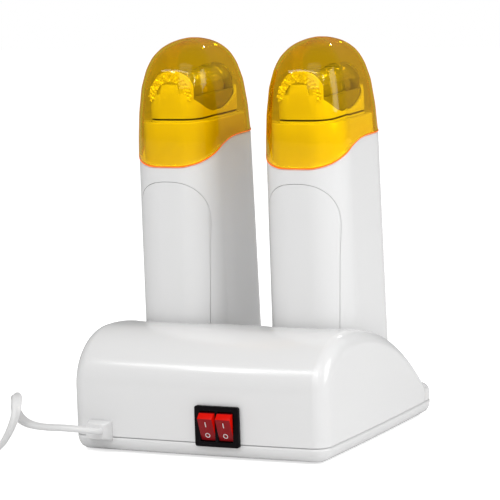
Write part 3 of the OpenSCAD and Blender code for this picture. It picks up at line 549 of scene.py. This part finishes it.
rear = BASE_Y + HALF_D
cut(hood, [box_cutter((-23.5, rear - 6, 9.0), (-2.5, rear + 6, 26.0)),
           box_cutter((49.3, rear - 6, 0.0), (57.7, rear + 6, 15.0))])
hood = dress(refreshed(hood, 38), white_shell, "base", "white_shell", "hood")
print("hood faces after the openings", len(hood.data.polygons))

# %% [markdown]
# The lower tray, the wells with their guide ribs and the small fittings are good as the source has them.
# They get merged, smoothly shaded copies, and the small fittings also get fine bevels, so that their edges catch
# light.

# %% Base fittings
refined("tray", white_shell, "base", "white_shell", 38)
for side in SIDES:
    refined(f"well_{side}", white_shell, "base", "white_shell", 35)
    refined(f"guides_{side}", white_shell, "base", "white_shell", 35)
for node, mat, slot in (("screw_posts", white_shell, "white_shell"),
                        ("base_screws", screw_metal, "screw_metal"), ("feet", foot_rubber, "foot_rubber"),
                        ("switch_body", switch_black, "switch_black"),
                        ("switch_terminals", brass_contact, "brass_contact"),
                        ("cord_tail", cord_white, "cord_white"),
                        ("cord_clamp", switch_black, "switch_black"),
                        ("terminal_block", switch_black, "switch_black"),
                        ("dock_contacts", brass_contact, "brass_contact")):
    refined(node, mat, "base", slot, 35, 0.0003)
refined("switch_bezel", switch_black, "base", "switch_black", 35, 0.0004)
refined("cord_gland", gland_white, "base", "gland_white", 30, 0.0004)
print("base fittings dressed")

# %% [markdown]
# Each rocker is a red moulding with an off ring and an on bar, the plain marks of a switch.
# Light gathers in its upper facet and its ends, so those faces get a brighter red.
# The marks are thin raised meshes on the sloping face, so they tilt with the rocker.

# %% Rockers and their marks
HINGE = np.array([-13.0, BASE_Y + 72.6, 17.5])
FACE_LOW, FACE_HIGH = np.array([0.9, -7.1]), np.array([5.5, 4.3])
ROCKER_MID, RING_UP, BAR_UP, MARK_H = 4.9, 2.9, 9.1, 0.12


def on_face(x, up, lift):
    """A point on a rocker's sloping face: x across, up along the face from its lower edge."""
    along = (FACE_HIGH - FACE_LOW) / np.linalg.norm(FACE_HIGH - FACE_LOW)
    out = np.array([along[1], -along[0]])
    y, z = FACE_LOW + along * up + out * lift
    return np.array([HINGE[0] + x, HINGE[1] + y, HINGE[2] + z]) / 1000


def mark(name, inner, outer, body):
    """Thin raised mark between two outlines on the face."""
    rings = [[on_face(x, u, lift) for x, u in pts]
             for pts, lift in ((inner, 0.0), (inner, MARK_H), (outer, MARK_H), (outer, 0.0))]
    return dress(band(name, rings), mark_white, body, "rocker_red")


for side, s in SIDES.items():
    body = f"switch_{side}"
    rocker = refined(f"rocker_{side}", rocker_red, body, "rocker_red", 30, 0.0003)
    rocker.data.materials.append(rocker_lit)
    for p in rocker.data.polygons:
        over_face = p.center.z > (HINGE[2] + FACE_HIGH[1]) / 1000 and p.normal.y > 0.2
        end_face = abs(p.normal.x) > 0.9
        p.material_index = 1 if over_face or end_face else 0
    mid = s * ROCKER_MID
    a = np.radians(np.arange(24) * 15)
    circle = [np.column_stack([mid + r * np.cos(a), RING_UP + r * np.sin(a)]) for r in (1.0, 1.3)]
    bar = [np.array([[mid - w, BAR_UP - h], [mid + w, BAR_UP - h], [mid + w, BAR_UP + h], [mid - w, BAR_UP + h]])
           for w, h in ((0.01, 1.2), (0.2, 1.35))]
    mark(f"mark_off_{side}", *circle, body)
    mark(f"mark_on_{side}", *bar, body)
print("rockers and marks done")

# %% [markdown]
# A handset body is one thin moulding: up the outside, over the shoulder that the cap meets,
# up the collar, across the deck and down the inside. All of it is one stack of rings.
# The shoulder dips towards the back, so its rings take their height from a smooth table.

# %% Handset body
SHOULDER = np.array([(-40, 139.5), (-20, 139.5), (-8, 139.5), (-2, 139.4), (3.5, 138.9), (9, 137.7),
                     (14, 136.3), (18, 134.6), (22, 132.5), (26, 130.5), (29, 129.0), (31.5, 127.9),
                     (33.5, 127.1), (34.5, 126.7), (40, 126.7)])
SHOULDER_LINE = eased(SHOULDER, 8)
SLEEVE_HOLE = (30.2, 55.2, 9.6)
HAND_WALL, COLLAR_INSET, DECK_TOP, DECK_LOW = 2.2, 3.0, 149.5, 147.5


def shoulder(y):
    """Height of the shoulder line at depth y, in mm."""
    return np.interp(y, SHOULDER_LINE[:, 0], SHOULDER_LINE[:, 1])


def hand_ring(h, inset):
    """Section of the handset at height h."""
    grow = 2 * TAPER * (TAPER_H - h) - 2 * inset
    return ring(HAND_W + grow, HAND_D + grow, HAND_R - inset, 16, 2, 14)


def hand_level(h, inset):
    return at_height(hand_ring(h, inset), h)


def rim_level(inset, drop):
    """The rim, which follows the shoulder, moved in and down by the given amounts."""
    flat = hand_ring(TAPER_H, inset)
    return at_height(flat, shoulder(flat[:, 1]) - drop)


def toward_rim(share):
    """Levels that turn from flat to the shape of the rim, from height 40 upwards."""
    flat = hand_ring(40 + 90 * share, 0)
    return at_height(flat, 40 + (shoulder(flat[:, 1]) - 41.2) * share)


def opening_level(h, grow):
    """The hole in the deck that the sleeve stands in."""
    w, d, r = SLEEVE_HOLE
    flat = ring(w + grow, d + grow, r + grow / 2, 16, 2, 14)
    return at_height(flat, h)


def handset_shell(side):
    """The whole moulding as one stack: foot, outside, rim, collar, deck, and down the inside."""
    levels = [hand_level(0, 1.2), hand_level(0.3, 0.4), hand_level(1.2, 0)]
    levels += [hand_level(h, 0) for h in (10, 20, 30, 40)]
    levels += [toward_rim(k / 12) for k in range(1, 13)]
    levels += [rim_level(0, 0.6), rim_level(0.06, 0.3), rim_level(0.25, 0.08), rim_level(0.6, 0.0),
               rim_level(COLLAR_INSET, 0.0)]
    levels += [hand_level(142, COLLAR_INSET), hand_level(DECK_TOP - 0.6, COLLAR_INSET),
               hand_level(DECK_TOP - 0.2, COLLAR_INSET + 0.15), hand_level(DECK_TOP, COLLAR_INSET + 0.5)]
    levels += [opening_level(DECK_TOP, 0.4), opening_level(DECK_TOP - 0.2, 0.1),
               opening_level(DECK_TOP - 0.5, 0), opening_level(DECK_LOW, 0)]
    levels += [hand_level(DECK_LOW, COLLAR_INSET + 2), hand_level(118, COLLAR_INSET + 2),
               hand_level(117, HAND_WALL), hand_level(HAND_WALL, HAND_WALL)]
    return skin(f"handset_body_{side}_piece", [dock(side, level) for level in levels], 38)


# %% [markdown]
# The rear cover is an arch let into the back of the handset. The same arch outline cuts
# the opening in the body and, a quarter of a millimetre smaller, the cover itself.

# %% Arch, cover and window outlines
def arch(grow):
    """Outline of the rear cover, straight at the sides and round at the top."""
    half, top = 20.1 + grow, 119.5 + grow
    pts = [(half - 1.6, 3.0), (half - 1.6, 47), (half - 0.7, 82)]
    for a in np.radians(np.arange(0, 181, 4)):
        c = math.cos(a)
        pts.append((half * math.copysign(abs(c) ** 0.77, c), 97.5 + (top - 97.5) * math.sin(a) ** 0.77))
    return pts + [(-half + 0.7, 82), (-half + 1.6, 47), (-half + 1.6, 3.0)]


def through_back(side, outline, near, far, name="arch_cutter"):
    """A cutter that runs front to back through a handset."""
    return prism(name, outline, near, far, lambda a, b, k: tuple(dock(side, (a, k, b))[0]))


def slot_outline(grow):
    """Outline of the level window."""
    flat = ring(6 + 2 * grow, 60 + 2 * grow, 3 + grow - 0.01, 10, 0, 6)
    return [(x, y + 82) for x, y in flat]


def wall_piece(side, name, outline, near, far, outer, inner):
    """A piece of the handset's wall inside an outline."""
    levels = [hand_level(h, outer) for h in np.linspace(2.6, 124, 12)]
    piece = skin(name, [dock(side, v) for v in levels])
    cut(piece, [through_back(side, outline, near, far)], "INTERSECT")
    hollow = [hand_level(h, inner) for h in np.linspace(0, 126, 12)]
    return cut(piece, [skin("hollow", [dock(side, v) for v in hollow])])


# %% [markdown]
# The sleeve has a narrow slit round its foot. Its inside lies in shade, so its faces get a dark painted shade.

# %% Handsets with their covers and windows
SLIT = (150.1, 151.2)              # heights between which the slit's faces lie
for side in SIDES:
    body = f"handset_{side}"
    shell = handset_shell(side)
    cut(shell, [through_back(side, arch(0), 14, 50)])
    cut(shell, [through_back(side, slot_outline(0), -50, -29, "slot_cutter")])
    foot_hole = [dock(side, at_height(ring(20, 14, 2, 4, 0, 0), h)) for h in (-1, 5)]
    cut(shell, [skin("foot_cutter", foot_hole)])
    dress(refreshed(shell, 38), white_shell, body, "white_shell", f"handset_body_{side}")
    cover = wall_piece(side, f"rear_cover_{side}_piece", arch(-0.22), 14, 50, 0, HAND_WALL)
    dress(refreshed(cover, 38), white_shell, body, "white_shell", f"rear_cover_{side}")
    window = wall_piece(side, f"level_window_{side}_piece", slot_outline(-0.1), -50, -20, 0, HAND_WALL)
    dress(refreshed(window, 38), window_amber, body, "window_amber", f"level_window_{side}")
    for node, mat, slot in (("heater_plate", heater_metal, "heater_aluminium"),
                            ("heating_element", switch_black, "switch_black"),
                            ("thermal_cutout", brass_contact, "brass_contact"),
                            ("contact_block", switch_black, "switch_black"),
                            ("contact_plates", brass_contact, "brass_contact")):
        refined(f"{node}_{side}", mat, body, slot, 35, 0.0002)
    sleeve = refined(f"inner_sleeve_{side}", sleeve_white, body, "sleeve_white", 35, 0.0003)
    # the slit's faces get the painted shade
    sleeve.data.materials.append(shadow_gap)
    for p in sleeve.data.polygons:
        y, z = p.center.y * 1000 - BASE_Y - DOCK_Y, p.center.z * 1000 - DOCK_Z
        p.material_index = 1 if SLIT[0] < y * math.sin(LEAN) + z * math.cos(LEAN) < SLIT[1] else 0
print("handsets done")

# %% [markdown]
# A thin crinkled film covers the roller until first use. Its creases are a sum of a few waves,
# so they are the same in every run. Both the sheet over the roller and its fold against the
# rear cheek are grids of points with a little thickness, which `thin_sheet` closes at the edges.

# %% Film over the roller
ROLLER_H, BOTTLE_D, CHEEK_T = 163.0, 50.4, 3.1
FILM_R, FILM_T = 10.75, 0.12


def thin_sheet(name, near, far, smooth):
    """Two grids of points in metres, one behind the other, closed round their edges."""
    bm = bmesh.new()
    near, far = ([[bm.verts.new(p) for p in row] for row in grid] for grid in (near, far))
    m, n = len(near), len(near[0])
    for i in range(m - 1):
        for j in range(n - 1):
            bm.faces.new((near[i][j], near[i][j + 1], near[i + 1][j + 1], near[i + 1][j]))
            bm.faces.new((far[i][j], far[i + 1][j], far[i + 1][j + 1], far[i][j + 1]))
        for j in (0, n - 1):
            bm.faces.new((near[i][j], near[i + 1][j], far[i + 1][j], far[i][j]))
    for j in range(n - 1):
        for i in (0, m - 1):
            bm.faces.new((near[i][j], near[i][j + 1], far[i][j + 1], far[i][j]))
    return finished(name, bm, smooth)


def film_sheet(side):
    """The sheet that bends over the roller from cheek to cheek."""
    reach = BOTTLE_D / 2 - CHEEK_T - 0.1
    angles = np.radians(np.linspace(24, 156, 67))
    along = np.linspace(-reach, reach, 61)
    rows = []
    for y in along:
        held = math.sin(math.pi * (y + reach) / (2 * reach)) ** 0.5
        crease = (0.30 * np.sin(9 * angles + 0.5 * y) + 0.22 * np.sin(17 * angles - 0.9 * y + 1)
                  + 0.12 * np.sin(31 * angles + 1.7 * y + 2)) * held
        r = FILM_R + 0.6 * crease
        rows.append(np.column_stack([r * np.cos(angles), np.full(len(angles), y), ROLLER_H + r * np.sin(angles)]))
    top = [dock(side, row) for row in rows]
    low = [dock(side, row - [0, 0, FILM_T]) for row in rows]
    return thin_sheet(f"film_{side}_piece", top, low, 80)


# %% [markdown]
# At the ends the film is gathered in small pleats against the cheeks. The rear fold is the one
# that the picture shows, as a bright half ring. Its pleats are waves along the ring, a little
# deeper and finer than those of the sheet.

# %% Fold of the film
FOLD_IN, FOLD_OUT = 8.2, 12.1      # inner and outer radius of the fold


def foil_arch(side):
    """The film's folded end: a crinkled half ring against the rear cheek."""
    angles = np.radians(np.linspace(-8, 188, 99))
    radii = np.linspace(FOLD_IN, FOLD_OUT, 11)
    sheets = []
    for lift in (0.0, FILM_T):
        rows = []
        for r in radii:
            fold = (0.20 * np.sin(13 * angles + 0.9 * r) + 0.16 * np.sin(29 * angles - 1.7 * r + 1)
                    + 0.10 * np.sin(47 * angles + 2.9 * r + 2))
            y = BOTTLE_D / 2 + 0.75 + 1.1 * fold + lift
            ragged = 0.25 * np.sin(17 * angles) + 0.15 * np.sin(31 * angles)
            wavy = r + ragged * (r - FOLD_IN) / (FOLD_OUT - FOLD_IN)
            row = np.column_stack([wavy * np.cos(angles), y, ROLLER_H - 1.2 + 0.98 * wavy * np.sin(angles)])
            rows.append(dock(side, row))
        sheets.append(rows)
    return thin_sheet(f"film_fold_{side}", *sheets, 20)


# %% [markdown]
# The cartridge rides inside the sleeve: a bottle of wax, a head with two cheeks, and a roller.
# The head is clear too, so it shows the olive of the wax, but for the outside of the rear cheek.

# %% Cartridges
for side in SIDES:
    body = f"cartridge_{side}"
    dress(foil_arch(side), foil, body, "clear_film")
    refined(f"bottle_{side}", wax_bottle, body, "wax_bottle", 35, 0.0006)
    head = refined(f"cartridge_head_{side}", head_plastic, body, "head_plastic", 35, 0.0003)
    head.data.materials.append(wax_bottle)
    cheek_y = [dock(side, (0, s * (BOTTLE_D / 2 - CHEEK_T), ROLLER_H))[0][1] for s in (-1, 1)]
    for p in head.data.polygons:
        p.material_index = 1 if p.center.y < cheek_y[1] + 0.0001 else 0
    refined(f"roller_{side}", roller_olive, f"wax_roller_{side}", "roller_plastic", 35)
    dress(film_sheet(side), clear_film, body, "clear_film", f"film_{side}")
print("cartridges done")

# %% [markdown]
# The cap is one clear shell of even wall. Its section shrinks with height by a measured table,
# eased into a smooth dome, and its lower edge follows the shoulder with a small gap.

# %% Caps
CAP_FOOT, CAP_WALL, CAP_FLARE = 141.2, 1.6, 1.012
CAP_SIZES = np.array([(CAP_FOOT, 1.0), (147.4, 0.985), (153.6, 0.97), (160, 0.94), (166.2, 0.91),
                      (169.4, 0.88), (172.5, 0.847), (175.6, 0.81), (178.8, 0.755), (181.9, 0.685),
                      (184.4, 0.6), (186.6, 0.5), (188.5, 0.37), (190, 0.2), (190.55, 0.06)])


def cap_level(h, size, inset):
    """Section of the cap at height h."""
    w, d, r = HAND_W * size - 2 * inset, HAND_D * size - 2 * inset, HAND_R * size - inset
    return at_height(ring(w, d, max(r, 0.05), 16, 2, 14), h)


def cap_rim(inset, lift, share=0.0):
    """The cap's lower edge, or a level that lies some share of the way up to its foot height."""
    flat = cap_level(0, CAP_FLARE - (CAP_FLARE - 1) * share, inset)[:, :2]
    low = shoulder(flat[:, 1]) + 0.3 + lift
    return at_height(flat, low + (CAP_FOOT - low) * share)


def cap_shell(side):
    """Inside from the top down, round the lower edge, and up the outside."""
    dome = eased(CAP_SIZES, 4)
    outside = [cap_level(h, s, 0) for h, s in dome]
    slope = np.gradient(dome, axis=0)
    normal = np.column_stack([slope[:, 0], -slope[:, 1] * HAND_W / 2])
    normal /= np.linalg.norm(normal, axis=1)[:, None]
    inside = []
    for (h, s), n in zip(dome, normal):
        half = HAND_W / 2 * s - CAP_WALL * n[0]
        if half > 0.6:
            inside.append(cap_level(h - CAP_WALL * n[1], s, CAP_WALL * n[0]))
    rims = [cap_rim(CAP_WALL, 0.3), cap_rim(CAP_WALL - 0.3, 0.0), cap_rim(0.3, 0.0),
            cap_rim(0.06, 0.12), cap_rim(0.0, 0.4)]
    rises = [cap_rim(0, 0.4, t) for t in (0.25, 0.5, 0.75)]
    inner_rises = [cap_rim(CAP_WALL, 0.3, t) for t in (0.75, 0.5, 0.25)]
    levels = inside[::-1] + inner_rises + rims + rises + outside
    return skin(f"cap_{side}_piece", [dock(side, level) for level in levels], 60)


def edge_line(side):
    """Thin bright line along the cap's lower edge, where light leaves the clear wall."""
    levels = [cap_rim(0.5, 0.02), cap_rim(-0.05, 0.02), cap_rim(-0.05, 0.4), cap_rim(0.5, 0.4)]
    return band(f"cap_edge_{side}", [dock(side, level) for level in levels])


for side in SIDES:
    dress(cap_shell(side), cap_amber, f"clear_cap_{side}", "cap_amber", f"cap_{side}")
    dress(edge_line(side), cap_edge, f"clear_cap_{side}", "cap_amber")
print("caps done")

# %% [markdown]
# The grip of the plug has a row of moulded ribs on its upper face. They are one rib repeated,
# so a small Geometry Nodes tree places them: count and spacing are its named inputs.

# %% Plug ribs by Geometry Nodes
def ribs_tree():
    """A row of round bars: a line of points, one bar on each, made real and given its material."""
    tree = bpy.data.node_groups.new("grip_ribs", "GeometryNodeTree")
    face = tree.interface
    face.new_socket(name="Geometry", in_out="INPUT", socket_type="NodeSocketGeometry")
    for label, kind, value in (("Count", "NodeSocketInt", 6), ("Spacing", "NodeSocketFloat", 0.003),
                               ("Width", "NodeSocketFloat", 0.016), ("Thickness", "NodeSocketFloat", 0.0012)):
        s = face.new_socket(name=label, in_out="INPUT", socket_type=kind)
        s.default_value = value
    face.new_socket(name="Material", in_out="INPUT", socket_type="NodeSocketMaterial")
    face.new_socket(name="Geometry", in_out="OUTPUT", socket_type="NodeSocketGeometry")
    nodes, links = tree.nodes, tree.links
    inp, out = nodes.new("NodeGroupInput"), nodes.new("NodeGroupOutput")
    line, rib = nodes.new("GeometryNodeMeshLine"), nodes.new("GeometryNodeMeshCylinder")
    size, place = nodes.new("ShaderNodeCombineXYZ"), nodes.new("GeometryNodeInstanceOnPoints")
    real, paint = nodes.new("GeometryNodeRealizeInstances"), nodes.new("GeometryNodeSetMaterial")
    links.new(inp.outputs["Count"], line.inputs["Count"])
    links.new(inp.outputs["Spacing"], size.inputs["X"])
    links.new(size.outputs["Vector"], line.inputs["Offset"])
    rib.inputs["Vertices"].default_value = 12
    links.new(inp.outputs["Thickness"], rib.inputs["Radius"])
    links.new(inp.outputs["Width"], rib.inputs["Depth"])
    place.inputs["Rotation"].default_value = (math.pi / 2, 0, 0)
    links.new(line.outputs["Mesh"], place.inputs["Points"])
    links.new(rib.outputs["Mesh"], place.inputs["Instance"])
    links.new(place.outputs["Instances"], real.inputs["Geometry"])
    links.new(real.outputs["Geometry"], paint.inputs["Geometry"])
    links.new(inp.outputs["Material"], paint.inputs["Material"])
    links.new(paint.outputs["Geometry"], out.inputs["Geometry"])
    return tree


GRIP_RIBS = ribs_tree()
plug_way = Vector(ways(coil_line)[-1])
plug_spot = Vector(coil_line[-1]) / 1000
plug_turn = math.atan2(plug_way.y, plug_way.x)


def plug_ribs(name, lift):
    """The ribs as a plain mesh, turned the way the plug lies."""
    holder = bpy.data.objects.new(name, bpy.data.meshes.new(name))
    bpy.context.collection.objects.link(holder)
    mod = holder.modifiers.new("ribs", "NODES")
    mod.node_group = GRIP_RIBS
    keys = {s.name: s.identifier for s in GRIP_RIBS.interface.items_tree if s.in_out == "INPUT"}
    mod[keys["Count"]], mod[keys["Spacing"]], mod[keys["Material"]] = 5, 0.0032, gland_white
    mod[keys["Width"]], mod[keys["Thickness"]] = 0.018, 0.0009
    bpy.context.view_layer.update()
    mesh = bpy.data.meshes.new_from_object(holder.evaluated_get(bpy.context.evaluated_depsgraph_get()))
    holder.modifiers.clear()
    mesh.transform(Matrix.Translation(plug_spot + Vector((0, 0, lift))) @ Matrix.Rotation(plug_turn, 4, "Z")
                   @ Matrix.Translation((0.018, 0, 0)))
    holder.data = mesh
    return dress(holder, gland_white, "base", "gland_white")


top_ribs = plug_ribs("plug_ribs_top", coil_line[-1][2] / 1000 - 0.0002)
print("plug rib faces", len(top_ribs.data.polygons))

# %% [markdown]
# The picture has a white ground with hardly a shadow and very soft light.
# The world gives even light, but mirror reflections see it dimmer, so that the caps stay deep
# in colour.

# %% World
world = bpy.data.worlds.new("studio")
bpy.context.scene.world = world
world.use_nodes = True
nodes, links = world.node_tree.nodes, world.node_tree.links
for n in list(nodes):
    nodes.remove(n)
path, soft, plain, mixed, sky_out = (nodes.new("ShaderNodeLightPath"), nodes.new("ShaderNodeBackground"),
                                     nodes.new("ShaderNodeBackground"), nodes.new("ShaderNodeMixShader"),
                                     nodes.new("ShaderNodeOutputWorld"))
dim, dimmed = nodes.new("ShaderNodeBackground"), nodes.new("ShaderNodeMixShader")
dim.inputs["Color"].default_value, dim.inputs["Strength"].default_value = (1.0, 1.0, 1.0, 1), 0.2
soft.inputs["Color"].default_value, soft.inputs["Strength"].default_value = (1.0, 1.0, 1.0, 1), 0.47
plain.inputs["Color"].default_value, plain.inputs["Strength"].default_value = (1, 1, 1, 1), 1.0
links.new(path.outputs["Is Camera Ray"], mixed.inputs["Fac"])
mirror_only = nodes.new("ShaderNodeMath")
mirror_only.operation, mirror_only.use_clamp = "SUBTRACT", True
links.new(path.outputs["Is Glossy Ray"], mirror_only.inputs[0])
links.new(path.outputs["Is Transmission Ray"], mirror_only.inputs[1])
links.new(mirror_only.outputs[0], dimmed.inputs["Fac"])
links.new(soft.outputs["Background"], dimmed.inputs[1])
links.new(dim.outputs["Background"], dimmed.inputs[2])
links.new(dimmed.outputs["Shader"], mixed.inputs[1])
links.new(plain.outputs["Background"], mixed.inputs[2])
links.new(mixed.outputs["Shader"], sky_out.inputs["Surface"])
print("world strength", soft.inputs["Strength"].default_value)

# %% [markdown]
# One broad lamp high behind the camera shapes the forms, one at the side lights the base's side,
# and a strip gives the long highlight on the rear edge. Small lamps give the sparks on the domes:
# each stands where a ray from the camera would go after it meets the cap.

# %% Lamps
SPARKS = [("spark_top", (0.01, -1.21, 0.90), (0.07, 0.07)),
          ("spark_rear", (0.61, 0.94, 1.04), (0.09, 0.07)),
          ("spark_corner", (-0.97, 0.67, 0.95), (0.05, 0.16))]
LAMP_AIM = Vector((0, 0, 0.08))


def lamp(name, spot, size, watts):
    """An area lamp that looks at the middle of the object."""
    light = bpy.data.objects.new(name, bpy.data.lights.new(name, "AREA"))
    light.data.shape, light.data.energy = "RECTANGLE", watts
    light.data.size, light.data.size_y = size
    bpy.context.collection.objects.link(light)
    light.location = spot
    light.rotation_euler = (LAMP_AIM - Vector(spot)).to_track_quat("-Z", "Y").to_euler()
    return light


lamp("broad_lamp", (-0.3, 1.1, 1.3), (1.2, 1.2), 6.6)
lamp("strip_lamp", (0.1, 0.9, 1.1), (1.4, 0.12), 4)
lamp("side_lamp", (-1.4, -0.1, 0.7), (0.6, 0.8), 8)
for name, spot, size in SPARKS:
    lamp(name, spot, size, 0.6)
print("lamps", 3 + len(SPARKS))

# %% [markdown]
# The floor looks white to the camera but keeps the shadow: a faint glow is added to a plain
# pale surface, and only for rays that come straight from the camera.

# %% Floor
bm = bmesh.new()
bmesh.ops.create_grid(bm, x_segments=1, y_segments=1, size=3)
floor = finished("floor", bm)
floor_mat = bpy.data.materials.new("floor_white")
floor_mat.use_nodes = True
nodes, links = floor_mat.node_tree.nodes, floor_mat.node_tree.links
shader = nodes["Principled BSDF"]
shader.inputs["Base Color"].default_value = (0.85, 0.85, 0.85, 1)
shader.inputs["Roughness"].default_value = 0.9
shader.inputs["Specular IOR Level"].default_value = 0.0
glow, total, pick, path = (nodes.new("ShaderNodeEmission"), nodes.new("ShaderNodeAddShader"),
                           nodes.new("ShaderNodeMixShader"), nodes.new("ShaderNodeLightPath"))
glow.inputs["Strength"].default_value = 0.68
links.new(shader.outputs["BSDF"], total.inputs[0])
links.new(glow.outputs["Emission"], total.inputs[1])
links.new(path.outputs["Is Camera Ray"], pick.inputs["Fac"])
links.new(shader.outputs["BSDF"], pick.inputs[1])
links.new(total.outputs["Shader"], pick.inputs[2])
links.new(pick.outputs["Shader"], nodes["Material Output"].inputs["Surface"])
floor.data.materials.append(floor_mat)
bpy.context.scene.view_settings.view_transform = "Standard"
print("floor ready")
